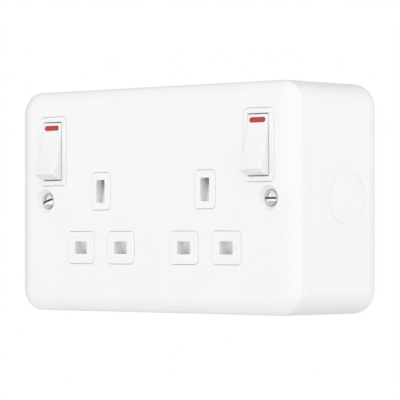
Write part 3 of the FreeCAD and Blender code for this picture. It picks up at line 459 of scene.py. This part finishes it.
class FormTree:
    """Small builder for the Geometry Nodes tree of one repeated form."""

    def __init__(self, name: str) -> None:
        """Start a tree that takes seed points and gives a mesh.

        Args:
            name: Name of the tree.
        """
        self.tree = bpy.data.node_groups.new(name, "GeometryNodeTree")
        self.tree.is_modifier = True
        self.nodes = self.tree.nodes
        self.links = self.tree.links
        for way in ("INPUT", "OUTPUT"):
            self.tree.interface.new_socket("Geometry", in_out=way, socket_type="NodeSocketGeometry")
        self.entry = self.nodes.new("NodeGroupInput")
        self.exit = self.nodes.new("NodeGroupOutput")

    def size(self, name: str, whole: bool = False) -> bpy.types.NodeSocket:
        """Add a named input.

        Args:
            name: Name of the size.
            whole: True for a count.

        Returns:
            Socket that gives the size inside the tree.
        """
        kind = "NodeSocketInt" if whole else "NodeSocketFloat"
        self.tree.interface.new_socket(name, in_out="INPUT", socket_type=kind)
        return self.entry.outputs[name]

    def feed(self, socket: bpy.types.NodeSocket, value: object) -> None:
        """Link or set one input of a node.

        Args:
            socket: Input of a node.
            value: Socket to link, or plain value.
        """
        if isinstance(value, bpy.types.NodeSocket):
            self.links.new(value, socket)
        else:
            socket.default_value = value

    def maths(self, operation: str, *values: object) -> bpy.types.NodeSocket:
        """Work out one number.

        Args:
            operation: Name of the operation.
            *values: Sockets or plain numbers.

        Returns:
            Socket with the result.
        """
        node = self.nodes.new("ShaderNodeMath")
        node.operation = operation
        for place, value in enumerate(values):
            self.feed(node.inputs[place], value)
        return node.outputs["Value"]

    def ramp(self, row: bpy.types.NodeSocket, start: object, end: object,
             rise: object) -> bpy.types.NodeSocket:
        """Rise from 0 to a value between two rows and stay there.

        Args:
            row: Number of the row.
            start: Row where it starts.
            end: Row where it ends.
            rise: Value that it reaches.

        Returns:
            Socket with the height of the ramp.
        """
        node = self.nodes.new("ShaderNodeMapRange")
        for name, value in (("Value", row), ("From Min", start), ("From Max", end), ("To Min", 0.0),
                            ("To Max", rise)):
            self.feed(node.inputs[name], value)
        return node.outputs["Result"]

    def total(self, *values: object) -> bpy.types.NodeSocket:
        """Add up numbers.

        Args:
            *values: Sockets or plain numbers.

        Returns:
            Socket with the sum.
        """
        result = values[0]
        for value in values[1:]:
            result = self.maths("ADD", result, value)
        return result

    def ridge(self, height: bpy.types.NodeSocket, share: bpy.types.NodeSocket, pitch: object,
              depth: object) -> bpy.types.NodeSocket:
        """Depth of a right-handed thread below its crest.

        Args:
            height: Place along the axis.
            share: Share of a turn around it.
            pitch: Distance between ridges.
            depth: Depth of the groove.

        Returns:
            Socket with the depth there.
        """
        phase = self.maths("FRACT", self.maths("SUBTRACT", self.maths("DIVIDE", height, pitch), share))
        swing = self.maths("ABSOLUTE", self.maths("MULTIPLY_ADD", phase, 2.0, -1.0))
        return self.maths("MULTIPLY", swing, depth)

    def sleeve(self, around: int, rows: object) -> tuple[bpy.types.NodeSocket, ...]:
        """Start a grid that is rolled up around the Y axis.

        Args:
            around: Number of faces around.
            rows: Number of the last row.

        Returns:
            The grid, the share of a turn and the row of each point.
        """
        grid = self.nodes.new("GeometryNodeMeshGrid")
        grid.inputs["Vertices X"].default_value = around + 1
        self.feed(grid.inputs["Vertices Y"], self.maths("ADD", rows, 1))
        place = self.nodes.new("ShaderNodeSeparateXYZ")
        self.links.new(grid.outputs["UV Map"], place.inputs["Vector"])
        row = self.maths("ROUND", self.maths("MULTIPLY", place.outputs["Y"], rows))
        return grid.outputs["Mesh"], place.outputs["X"], row

    def roll(self, grid: bpy.types.NodeSocket, share: bpy.types.NodeSocket,
             radius: bpy.types.NodeSocket, height: bpy.types.NodeSocket) -> bpy.types.NodeSocket:
        """Roll the grid up and close its seam and its ends.

        Args:
            grid: Grid from sleeve.
            share: Share of a turn of each point.
            radius: Distance from the axis of each point.
            height: Place along the axis of each point.

        Returns:
            Socket with the closed mesh.
        """
        angle = self.maths("MULTIPLY", share, -2.0 * math.pi)
        spot = self.nodes.new("ShaderNodeCombineXYZ")
        self.feed(spot.inputs["X"], self.maths("MULTIPLY", radius, self.maths("COSINE", angle)))
        self.feed(spot.inputs["Y"], height)
        self.feed(spot.inputs["Z"], self.maths("MULTIPLY", radius, self.maths("SINE", angle)))
        place = self.nodes.new("GeometryNodeSetPosition")
        self.links.new(grid, place.inputs["Geometry"])
        self.links.new(spot.outputs["Vector"], place.inputs["Position"])
        weld = self.nodes.new("GeometryNodeMergeByDistance")
        self.links.new(place.outputs["Geometry"], weld.inputs["Geometry"])
        weld.inputs["Distance"].default_value = SAME_POINT
        return weld.outputs["Geometry"]

    def mark(self, form: bpy.types.NodeSocket, name: str, value: object,
             domain: str) -> bpy.types.NodeSocket:
        """Store a value on a mesh for its material.

        Args:
            form: Mesh.
            name: Name of the attribute.
            value: Socket or plain number.
            domain: Where it is kept, on points or faces.

        Returns:
            Socket with the marked mesh.
        """
        store = self.nodes.new("GeometryNodeStoreNamedAttribute")
        store.data_type = "FLOAT"
        store.domain = domain
        self.links.new(form, store.inputs["Geometry"])
        store.inputs["Name"].default_value = name
        self.feed(store.inputs["Value"], value)
        return store.outputs["Geometry"]

    def carve(self, form: bpy.types.NodeSocket, long: object, wide: object, top: object,
              depth: object, painted_shade: float = 0.9) -> bpy.types.NodeSocket:
        """Cut a driver slot into the top of a head, with painted shade on its walls.

        Args:
            form: Closed mesh.
            long: Length of the slot along X.
            wide: Width of the slot along Z.
            top: Place of the head's top along Y.
            depth: Depth of the slot below it.
            painted_shade: Share of painted shade on the slot's walls.

        Returns:
            Socket with the cut mesh.
        """
        size = self.nodes.new("ShaderNodeCombineXYZ")
        for name, value in (("X", long), ("Y", self.maths("MULTIPLY", depth, 2.0)), ("Z", wide)):
            self.feed(size.inputs[name], value)
        block = self.nodes.new("GeometryNodeMeshCube")
        self.links.new(size.outputs["Vector"], block.inputs["Size"])
        place = self.nodes.new("ShaderNodeCombineXYZ")
        self.feed(place.inputs["Y"], top)
        move = self.nodes.new("GeometryNodeTransform")
        # The cutting block's faces carry the painted shade onto the slot's walls
        self.links.new(self.mark(block.outputs["Mesh"], SLOT_SHADE, painted_shade, "FACE"),
                       move.inputs["Geometry"])
        self.links.new(place.outputs["Vector"], move.inputs["Translation"])
        cut = self.nodes.new("GeometryNodeMeshBoolean")
        cut.operation = "DIFFERENCE"
        cut.solver = "EXACT"
        self.links.new(form, cut.inputs["Mesh 1"])
        self.links.new(move.outputs["Geometry"], cut.inputs["Mesh 2"])
        return cut.outputs["Mesh"]

    def finish(self, form: bpy.types.NodeSocket, material: bpy.types.Material) -> None:
        """Set the form on every seed point, turned by the seed's own angle.

        Args:
            form: Mesh of one copy.
            material: Its finish.
        """
        turn = self.nodes.new("GeometryNodeInputNamedAttribute")
        turn.data_type = "FLOAT_VECTOR"
        turn.inputs["Name"].default_value = TURN
        copies = self.nodes.new("GeometryNodeInstanceOnPoints")
        self.links.new(self.entry.outputs["Geometry"], copies.inputs["Points"])
        self.links.new(form, copies.inputs["Instance"])
        self.links.new(turn.outputs["Attribute"], copies.inputs["Rotation"])
        real = self.nodes.new("GeometryNodeRealizeInstances")
        self.links.new(copies.outputs["Instances"], real.inputs["Geometry"])
        coat = self.nodes.new("GeometryNodeSetMaterial")
        coat.inputs["Material"].default_value = material
        self.links.new(real.outputs["Geometry"], coat.inputs["Geometry"])
        self.links.new(coat.outputs["Geometry"], self.exit.inputs["Geometry"])

    def grow(self, name: str, seeds: Sequence[Sequence[float]], turns: Sequence[Sequence[float]],
             sizes: dict[str, float]) -> bpy.types.Object:
        """Evaluate the tree on seed points and keep the result as a plain mesh.

        Args:
            name: Name of the piece.
            seeds: Places of the copies.
            turns: Euler angles of the copies.
            sizes: Values of the named inputs.

        Returns:
            The piece.
        """
        points = bpy.data.meshes.new(name + "_seeds")
        points.from_pydata(seeds, [], [])
        angles = points.attributes.new(TURN, "FLOAT_VECTOR", "POINT")
        for place, turn in enumerate(turns):
            angles.data[place].vector = turn
        piece = bpy.data.objects.new(name, points)
        bpy.context.scene.collection.objects.link(piece)
        modifier = piece.modifiers.new("form", "NODES")
        modifier.node_group = self.tree
        for item in self.tree.interface.items_tree:
            if item.in_out == "INPUT" and item.name in sizes:
                modifier[item.identifier] = sizes[item.name]
        seen = piece.evaluated_get(bpy.context.evaluated_depsgraph_get())
        grown = bpy.data.meshes.new_from_object(seen)
        piece.modifiers.remove(modifier)
        piece.data = grown
        grown.name = name
        bpy.data.meshes.remove(points)
        return piece


def loose_boxes(node: bpy.types.Object) -> list[tuple[Vector, Vector]]:
    """Boxes of the separate solids of a node, from left to right.

    Args:
        node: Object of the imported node.

    Returns:
        Lowest and highest corner of each solid.
    """
    form = bmesh.new()
    form.from_mesh(node.data)
    bmesh.ops.remove_doubles(form, verts=form.verts, dist=SAME_POINT)
    left = set(form.verts)
    boxes = []
    while left:
        front = [left.pop()]
        group = list(front)
        while front:
            vert = front.pop()
            near = {edge.other_vert(vert) for edge in vert.link_edges} & left
            left -= near
            front += near
            group += near
        boxes.append((Vector([min(vert.co[i] for vert in group) for i in range(3)]),
                      Vector([max(vert.co[i] for vert in group) for i in range(3)])))
    form.free()
    return sorted(boxes, key=lambda pair: (round(pair[0].x, COLUMN_DIGITS), pair[0].z))


def settle(piece: bpy.types.Object, crease: float = CREASE) -> None:
    """Shade a piece smooth, with sharp creases and flat faces left flat.

    Args:
        piece: Mesh object, which ends with a plain mesh and no modifier.
        crease: Least angle of a sharp edge in radians.
    """
    if "custom_normal" in piece.data.attributes:
        piece.data.attributes.remove(piece.data.attributes["custom_normal"])
    piece.data.shade_smooth()
    piece.data.set_sharp_from_angle(angle=crease)
    weight = piece.modifiers.new("flat_faces", "WEIGHTED_NORMAL")
    weight.keep_sharp = True
    split = piece.modifiers.new("triangles", "TRIANGULATE")
    split.keep_custom_normals = True
    seen = piece.evaluated_get(bpy.context.evaluated_depsgraph_get())
    plain = bpy.data.meshes.new_from_object(seen)
    piece.modifiers.clear()
    old = piece.data
    piece.data = plain
    name = old.name
    bpy.data.meshes.remove(old)
    plain.name = name


def hand_over(piece: bpy.types.Object, node: str, body: Body) -> None:
    """Let a piece stand for a node, on its body.

    Args:
        piece: New piece.
        node: Node that it replaces.
        body: Body that it rides on.
    """
    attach(piece, body.value)
    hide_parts(node)
    LOG.info("%s: %d faces", piece.name, len(piece.data.polygons))


@dataclass
class SoftenedNode:
    """Copy of a solid with smooth shading and a small round on its sharp edges."""

    node: str
    slot: Slot
    body: Body
    edge_round: float = 0.0
    segments: int = 2
    edge_profile: float = 0.5
    sharp_angle: float = math.radians(28.0)
    flat_angle: float = math.radians(0.3)
    crease: float = CREASE

    def build(self, frame: dict, finishes: Finishes) -> bpy.types.Object:
        """Make the piece, which replaces its node.

        Args:
            frame: Loaded frame.
            finishes: Finishes of the object.

        Returns:
            The new piece.
        """
        mesh = frame["nodes"][self.node].data.copy()
        mesh.name = self.node + "_skin"
        piece = bpy.data.objects.new(self.node + "_skin", mesh)
        bpy.context.scene.collection.objects.link(piece)
        form = bmesh.new()
        form.from_mesh(mesh)
        bmesh.ops.remove_doubles(form, verts=form.verts, dist=SAME_POINT)
        bmesh.ops.dissolve_limit(form, angle_limit=self.flat_angle, verts=form.verts,
                                 edges=form.edges)
        if self.edge_round > 0:
            sharp = [edge for edge in form.edges if len(edge.link_faces) == 2
                     and edge.calc_face_angle(0.0) > self.sharp_angle]
            bmesh.ops.bevel(form, geom=sharp, offset=self.edge_round, segments=self.segments,
                            profile=self.edge_profile, affect="EDGES", clamp_overlap=True)
        form.to_mesh(mesh)
        form.free()
        finishes.dress(piece, self.slot)
        settle(piece, self.crease)
        hand_over(piece, self.node, self.body)
        return piece


@dataclass
class MetalCase:
    """Pressed front plate and wall box in white powder coat."""

    plate_edge: float = 0.12 * MM

    def build(self, frame: dict, finishes: Finishes) -> None:
        """Make both pressings.

        Args:
            frame: Loaded frame.
            finishes: Finishes of the object.
        """
        SoftenedNode("front_plate", Slot.PAINT, Body.HOUSING, self.plate_edge).build(frame, finishes)
        SoftenedNode("back_box", Slot.PAINT, Body.HOUSING).build(frame, finishes)


@dataclass
class SwitchedMoulding:
    """White moulding with its rockers, neon windows, shutters and the shutters' springs."""

    lens_edge: float = 0.12 * MM
    shutter_edge: float = 0.08 * MM
    shutter_travel: float = 6.2 * MM
    wire_crease: float = math.radians(75.0)

    def build(self, frame: dict, finishes: Finishes) -> None:
        """Make the moulded pieces that show.

        Args:
            frame: Loaded frame.
            finishes: Finishes of the object.
        """
        SoftenedNode("socket_front", Slot.WHITE, Body.HOUSING).build(frame, finishes)
        for side in SIDES:
            rocker = Body(side + "_rocker")
            SoftenedNode(side + "_rocker", Slot.WHITE, rocker).build(frame, finishes)
            SoftenedNode(side + "_neon_lens", Slot.LENS, rocker, self.lens_edge).build(frame, finishes)
            SoftenedNode(side + "_shutter", Slot.GREY, Body(side + "_shutter"),
                         self.shutter_edge).build(frame, finishes)
            self.add_spring(side, frame, finishes)

    def add_spring(self, side: str, frame: dict, finishes: Finishes) -> None:
        """Make the spring below a shutter.

        Args:
            side: Side of the socket.
            frame: Loaded frame.
            finishes: Finishes of the object.
        """
        spring = SoftenedNode(side + "_shutter_spring", Slot.STEEL, Body.HOUSING,
                              crease=self.wire_crease).build(frame, finishes)
        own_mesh(spring)


@dataclass
class ScrewSet:
    """Screws of one kind, each with a dome, a rim, a cone and a threaded shank."""

    node: str
    slot: Slot
    face: Face
    head_radius: float
    dome: float
    rim: float
    cone: float
    shank_radius: float
    pitch: float
    thread_depth: float
    slot_width: float
    slot_depth: float
    slot_length: float
    cross_length: float
    lean: float = 0.0
    rows_per_turn: int = 6

    def build(self, tree: FormTree, frame: dict) -> None:
        """Grow the screws where their solids are.

        Args:
            tree: Tree of a screw.
            frame: Loaded frame.
        """
        boxes = loose_boxes(frame["nodes"][self.node])
        seeds = [((low.x + high.x) / 2.0,
                  low.y + self.dome if self.face is Face.FRONT else high.y - self.dome,
                  (low.z + high.z) / 2.0) for low, high in boxes]
        turns = [(0.0, self.lean, self.face.value)] * len(seeds)
        low, high = boxes[-1]
        length = high.y - low.y - self.dome - self.rim - self.cone
        rows = DOME_ROWS + PLAIN_ROWS + int(length / self.pitch * self.rows_per_turn)
        piece = tree.grow(self.node + "_turned", seeds, turns, {
            "Head Radius": self.head_radius, "Dome": self.dome, "Rim": self.rim, "Cone": self.cone,
            "Shank Radius": self.shank_radius, "Pitch": self.pitch, "Thread Depth": self.thread_depth,
            "Length": length, "Slot Width": self.slot_width, "Slot Depth": self.slot_depth,
            "Slot Length": self.slot_length, "Cross Length": self.cross_length, "Rows": rows})
        settle(piece)
        hand_over(piece, self.node, Body.HOUSING)


def screw_tree(material: bpy.types.Material, name: str, around: int = 28, run_in: int = 2,
               tip_fade: float = 0.4, shadow_band: float = 0.6) -> FormTree:
    """Tree of one turned screw, with the middle of its head's rim at the origin and its tip at +Y.

    Args:
        material: Finish of the screw.
        name: Name of the tree.
        around: Faces around the screw.
        run_in: Rows over which the thread deepens below the head.
        tip_fade: Share of the thread's depth that is gone at the tip.
        shadow_band: Rows over which the painted shadow begins before the rim.

    Returns:
        The tree.
    """
    tree = FormTree(name)
    head, dome, rim, cone, shank, pitch, depth, length = [tree.size(size) for size in (
        "Head Radius", "Dome", "Rim", "Cone", "Shank Radius", "Pitch", "Thread Depth", "Length")]
    wide, deep, long, cross = [tree.size(size) for size in (
        "Slot Width", "Slot Depth", "Slot Length", "Cross Length")]
    rows = tree.size("Rows", whole=True)
    grid, share, row = tree.sleeve(around, rows)
    rim_end = DOME_ROWS + 1
    cone_end = rim_end + 1
    last = tree.maths("SUBTRACT", rows, 1.0)
    out = tree.ramp(row, 0.0, DOME_ROWS, 1.0)
    crown = tree.maths("MULTIPLY", tree.maths("MULTIPLY_ADD", out, out, -1.0), dome)
    height = tree.total(crown, tree.ramp(row, DOME_ROWS, rim_end, rim),
                        tree.ramp(row, rim_end, cone_end, cone),
                        tree.ramp(row, cone_end, last, length))
    threaded = tree.maths("SUBTRACT", tree.ramp(row, cone_end, cone_end + run_in, 1.0),
                          tree.ramp(row, tree.maths("SUBTRACT", last, 1.0), last, tip_fade))
    groove = tree.maths("MULTIPLY", threaded, tree.ridge(height, share, pitch, depth))
    radius = tree.total(tree.maths("MULTIPLY", out, head),
                        tree.ramp(row, rim_end, cone_end, tree.maths("SUBTRACT", shank, head)),
                        tree.maths("MULTIPLY", groove, -1.0))
    open_end = tree.maths("SUBTRACT", 1.0, tree.ramp(row, last, rows, 1.0))
    form = tree.roll(grid, share, tree.maths("MULTIPLY", radius, open_end), height)
    # Painted shadow of the gap round the head: whole on the rim, fading in over the dome's outer rows
    # and out down the cone
    painted_rim_shadow = tree.maths("SUBTRACT", tree.ramp(row, DOME_ROWS - shadow_band, DOME_ROWS, 1.0),
                      tree.ramp(row, rim_end, cone_end, 1.0))
    form = tree.mark(form, RIM_SHADOW, painted_rim_shadow, "POINT")
    top = tree.maths("MULTIPLY", dome, -1.0)
    form = tree.carve(form, long, wide, top, deep)
    form = tree.carve(form, wide, cross, top, deep)
    tree.finish(form, material)
    return tree


def nut_tree(material: bpy.types.Material, name: str, around: int = 48, corners: int = 6,
             face_reach: float = 1.02, chamfer_reach: float = 0.14) -> FormTree:
    """Tree of one nut with chamfered corners and a threaded bore, from the origin towards +Y.

    Args:
        material: Finish of the nut.
        name: Name of the tree.
        around: Faces around the nut.
        corners: Number of its corners.
        face_reach: Radius of its end faces, as a share of half its width.
        chamfer_reach: What its chamfers add to that radius, as a share of half its width.

    Returns:
        The tree.
    """
    tree = FormTree(name)
    width, bore, pitch, depth, chamfer, height = [tree.size(size) for size in (
        "Width", "Bore Radius", "Pitch", "Thread Depth", "Chamfer", "Height")]
    rows = tree.size("Rows", whole=True)
    grid, share, row = tree.sleeve(around, rows)
    side_start, side_end, far_face, bore_start = 1.0, 2.0, 3.0, 4.0
    last = tree.maths("SUBTRACT", rows, 1.0)
    side = tree.maths("SUBTRACT", height, tree.maths("MULTIPLY", chamfer, 2.0))
    level = tree.total(tree.ramp(row, 0.0, side_start, chamfer),
                       tree.ramp(row, side_start, side_end, side),
                       tree.ramp(row, side_end, far_face, chamfer),
                       tree.ramp(row, bore_start, last, tree.maths("MULTIPLY", height, -1.0)))
    sector = tree.maths("FRACT", tree.maths("MULTIPLY", share, float(corners)))
    bend = tree.maths("MULTIPLY", tree.maths("SUBTRACT", sector, 0.5), 2.0 * math.pi / corners)
    half = tree.maths("MULTIPLY", width, 0.5)
    flat = tree.maths("DIVIDE", half, tree.maths("COSINE", bend))
    reach = tree.maths("MULTIPLY", half, chamfer_reach)
    limit = tree.total(tree.maths("MULTIPLY", half, face_reach), tree.ramp(row, 0.0, side_start, reach),
                       tree.ramp(row, side_end, far_face, tree.maths("MULTIPLY", reach, -1.0)))
    outer = tree.maths("MINIMUM", flat, limit)
    inner = tree.maths("ADD", bore, tree.ridge(level, share, pitch, depth))
    inside = tree.maths("SUBTRACT", tree.ramp(row, far_face, bore_start, 1.0),
                        tree.ramp(row, last, rows, 1.0))
    radius = tree.maths("ADD", outer, tree.maths("MULTIPLY", inside,
                                                 tree.maths("SUBTRACT", inner, outer)))
    tree.finish(tree.roll(grid, share, radius, level), material)
    return tree


@dataclass
class Fasteners:
    """Every screw and nut of the object."""

    plate_thread: float = 0.6 * MM
    terminal_thread: float = 0.7 * MM
    housing_thread: float = 0.9 * MM
    left_slot_lean: float = -math.radians(17.0)
    earth_slot_lean: float = -math.radians(35.0)
    nut_width: float = 5.5 * MM
    nut_bore: float = 1.55 * MM
    nut_thread: float = 0.5 * MM
    nut_thread_depth: float = 0.22 * MM
    nut_chamfer: float = 0.3 * MM
    nut_rows: int = 32

    def screws(self) -> list[ScrewSet]:
        """Sizes of every set of screws.

        Returns:
            The sets, from the plate inwards.
        """
        plate = [
            ScrewSet(side + "_plate_screw", Slot.BRIGHT, Face.FRONT, lean=lean, head_radius=3.2 * MM,
                     dome=0.9 * MM, rim=0.06 * MM, cone=1.39 * MM, shank_radius=1.75 * MM,
                     pitch=self.plate_thread, thread_depth=0.32 * MM, slot_width=0.95 * MM,
                     slot_depth=0.75 * MM, slot_length=9.0 * MM, cross_length=0.9 * MM)
            for side, lean in zip(SIDES, (self.left_slot_lean, 0.0))]
        terminal = [
            ScrewSet(node, Slot.STEEL, face, lean=lean, head_radius=2.8 * MM, dome=0.2 * MM,
                     rim=1.4 * MM, cone=0.0, shank_radius=1.9 * MM, pitch=self.terminal_thread,
                     thread_depth=0.36 * MM, slot_width=0.8 * MM, slot_depth=0.8 * MM,
                     slot_length=8.0 * MM, cross_length=0.7 * MM)
            for node, face, lean in (("terminal_screws", Face.BACK, 0.0),
                                     ("box_earth_screw", Face.FRONT, self.earth_slot_lean))]
        housing = ScrewSet("base_screws", Slot.STEEL, Face.BACK, head_radius=2.1 * MM, dome=0.5 * MM,
                           rim=0.9 * MM, cone=0.0, shank_radius=1.2 * MM, pitch=self.housing_thread,
                           thread_depth=0.3 * MM, slot_width=0.5 * MM, slot_depth=0.9 * MM,
                           slot_length=2.4 * MM, cross_length=2.4 * MM)
        return plate + terminal + [housing]

    def build(self, frame: dict, finishes: Finishes) -> None:
        """Grow the screws and the nuts.

        Args:
            frame: Loaded frame.
            finishes: Finishes of the object.
        """
        trees = {slot: screw_tree(finishes.by_slot[slot], slot.value + "_screw")
                 for slot in (Slot.BRIGHT, Slot.STEEL)}
        for kind in self.screws():
            kind.build(trees[kind.slot], frame)
        self.add_nuts(frame, finishes)

    def add_nuts(self, frame: dict, finishes: Finishes) -> None:
        """Grow the four hexagon nuts behind the moulding.

        Args:
            frame: Loaded frame.
            finishes: Finishes of the object.
        """
        tree = nut_tree(finishes.by_slot[Slot.STEEL], "hexagon_nut")
        boxes = loose_boxes(frame["nodes"]["plate_nuts"])
        seeds = [((low.x + high.x) / 2.0, low.y, (low.z + high.z) / 2.0) for low, high in boxes]
        piece = tree.grow("plate_nuts_turned", seeds, [(0.0, 0.0, 0.0)] * len(seeds), {
            "Width": self.nut_width, "Bore Radius": self.nut_bore, "Pitch": self.nut_thread,
            "Thread Depth": self.nut_thread_depth, "Chamfer": self.nut_chamfer,
            "Height": boxes[0][1].y - boxes[0][0].y, "Rows": self.nut_rows})
        settle(piece)
        hand_over(piece, "plate_nuts", Body.HOUSING)


def dress_frame(frame: dict, finishes: Finishes) -> None:
    """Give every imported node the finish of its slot.

    Args:
        frame: Loaded frame.
        finishes: Finishes of the object.
    """
    for row in frame["record"]["subparts"]:
        node = frame["nodes"][row["node"]]
        finishes.dress(node, Slot(row["material_slot"]))
    LOG.info("dressed %d nodes", len(frame["nodes"]))


class SkyTree:
    """Small builder for the node tree of the surroundings."""

    def __init__(self, name: str) -> None:
        """Start a world with no nodes.

        Args:
            name: Name of the world.
        """
        world = bpy.data.worlds.new(name)
        world.use_nodes = True
        bpy.context.scene.world = world
        self.nodes = world.node_tree.nodes
        self.links = world.node_tree.links
        self.nodes.clear()
        self.direction = self.nodes.new("ShaderNodeTexCoord").outputs["Generated"]

    def facing(self, way: Sequence[float]) -> bpy.types.NodeSocket:
        """How far a direction points one way, from -1 to 1.

        Args:
            way: Direction, of any length.

        Returns:
            Socket with the cosine.
        """
        node = self.nodes.new("ShaderNodeVectorMath")
        node.operation = "DOT_PRODUCT"
        node.inputs[1].default_value = Vector(way).normalized()
        self.links.new(self.direction, node.inputs[0])
        return node.outputs["Value"]

    def fade(self, source: bpy.types.NodeSocket, start: float, end: float,
             height: float) -> bpy.types.NodeSocket:
        """Go smoothly from 0 to a height between two cosines.

        Args:
            source: Cosine.
            start: Cosine where it starts.
            end: Cosine where it is whole.
            height: Value there.

        Returns:
            Socket with the value.
        """
        node = self.nodes.new("ShaderNodeMapRange")
        node.interpolation_type = "SMOOTHSTEP"
        node.inputs["From Min"].default_value = start
        node.inputs["From Max"].default_value = end
        node.inputs["To Min"].default_value = 0.0
        node.inputs["To Max"].default_value = height
        self.links.new(source, node.inputs["Value"])
        return node.outputs["Result"]

    def maths(self, operation: str, first: object, second: object) -> bpy.types.NodeSocket:
        """Work out one number.

        Args:
            operation: Name of the operation.
            first: Socket or number.
            second: Socket or number.

        Returns:
            Socket with the result.
        """
        node = self.nodes.new("ShaderNodeMath")
        node.operation = operation
        for place, value in enumerate((first, second)):
            if isinstance(value, bpy.types.NodeSocket):
                self.links.new(value, node.inputs[place])
            else:
                node.inputs[place].default_value = value
        return node.outputs["Value"]

    def close(self, strength: bpy.types.NodeSocket) -> None:
        """Light the scene with a strength, behind a plain white backdrop.

        Args:
            strength: Strength by direction.
        """
        light = self.nodes.new("ShaderNodeBackground")
        white = self.nodes.new("ShaderNodeBackground")
        path = self.nodes.new("ShaderNodeLightPath")
        mix = self.nodes.new("ShaderNodeMixShader")
        out = self.nodes.new("ShaderNodeOutputWorld")
        self.links.new(strength, light.inputs["Strength"])
        for shader in (light, white):
            shader.inputs["Color"].default_value = (1.0, 1.0, 1.0, 1.0)
        self.links.new(path.outputs["Is Camera Ray"], mix.inputs["Fac"])
        self.links.new(light.outputs["Background"], mix.inputs[1])
        self.links.new(white.outputs["Background"], mix.inputs[2])
        self.links.new(mix.outputs["Shader"], out.inputs["Surface"])


@dataclass(frozen=True)
class SkyPatch:
    """Stretch of the surroundings that is lighter or darker than the rest.

    It starts where a direction's cosine with its way is edge, and is whole where that is core.
    """

    way: tuple[float, float, float]
    edge: float
    core: float
    gain: float


@dataclass
class Studio:
    """Camera, light and floor, in metres and degrees, with the lens in millimetres."""

    camera_place: tuple[float, float, float] = (0.7298, -0.7929, -0.0164)
    camera_tilt: float = 90.0
    camera_turn: float = 43.47
    lens: float = 242.07
    frame_shift: float = 0.105
    sight: float = 100.0
    sky_level: float = 1.43
    least_level: float = 0.03
    rear: SkyPatch = SkyPatch((0.60, -0.80, 0.0), 0.15, -0.95, -0.90)
    crown: SkyPatch = SkyPatch((0.0, 0.0, 1.0), 0.0, 0.55, -0.46)
    backdrop: SkyPatch = SkyPatch((-0.688, 0.726, 0.0), 0.70, 0.95, 0.5)
    far_left: SkyPatch = SkyPatch((-0.95, -0.05, 0.32), 0.80, 0.94, -0.78)
    floor_size: float = 3.0
    floor_drop: float = 0.45
    floor_colour: tuple[float, float, float] = (0.93, 0.93, 0.93)
    floor_shade: tuple[float, float, float] = (0.92, 0.92, 0.92)
    floor_blotch: float = 0.4
    floor_roughness: float = 0.9

    def build(self) -> None:
        """Make everything that isn't part of the object."""
        self.add_camera()
        self.add_sky()
        self.add_floor()
        view = bpy.context.scene.view_settings
        view.view_transform = "Standard"
        view.look = "None"

    def add_camera(self) -> None:
        """Camera at the photograph's viewing angle."""
        camera = bpy.data.cameras.new("camera")
        camera.lens = self.lens
        camera.shift_y = self.frame_shift
        camera.clip_end = self.sight
        stand = bpy.data.objects.new("camera", camera)
        stand.location = self.camera_place
        stand.rotation_euler = (math.radians(self.camera_tilt), 0.0, math.radians(self.camera_turn))
        bpy.context.scene.collection.objects.link(stand)
        bpy.context.scene.camera = stand

    def add_sky(self) -> None:
        """White surround, brightest at the front right and dimmest at the far left."""
        sky = SkyTree("white_studio")
        level: object = self.sky_level
        for patch in (self.rear, self.crown, self.backdrop, self.far_left):
            level = sky.maths("ADD", level, sky.fade(sky.facing(patch.way), patch.edge, patch.core,
                                                     patch.gain))
        sky.close(sky.maths("MAXIMUM", level, self.least_level))

    def add_floor(self) -> None:
        """Pale floor below the object, which hangs on a wall."""
        low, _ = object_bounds()
        level = low[2] - self.floor_drop
        mesh = bpy.data.meshes.new("floor")
        half = self.floor_size / 2.0
        mesh.from_pydata([(-half, -half, level), (half, -half, level), (half, half, level),
                          (-half, half, level)], [], [(0, 1, 2, 3)])
        floor = bpy.data.objects.new("floor", mesh)
        bpy.context.scene.collection.objects.link(floor)
        tree = ShaderTree("pale_floor")
        tree.tint(tree.noise(self.floor_blotch), self.floor_colour, self.floor_shade)
        tree.set(Roughness=self.floor_roughness)
        mesh.materials.append(tree.material)
        floor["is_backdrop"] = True


def main() -> None:
    """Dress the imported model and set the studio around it."""
    logging.basicConfig(level=logging.INFO, format="%(message)s")
    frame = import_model()
    finishes = Finishes()
    dress_frame(frame, finishes)
    for group in (MetalCase(), SwitchedMoulding(), Fasteners()):
        group.build(frame, finishes)
        LOG.info("%s done", type(group).__name__)
    Studio().build()


if __name__ == "__main__":
    main()
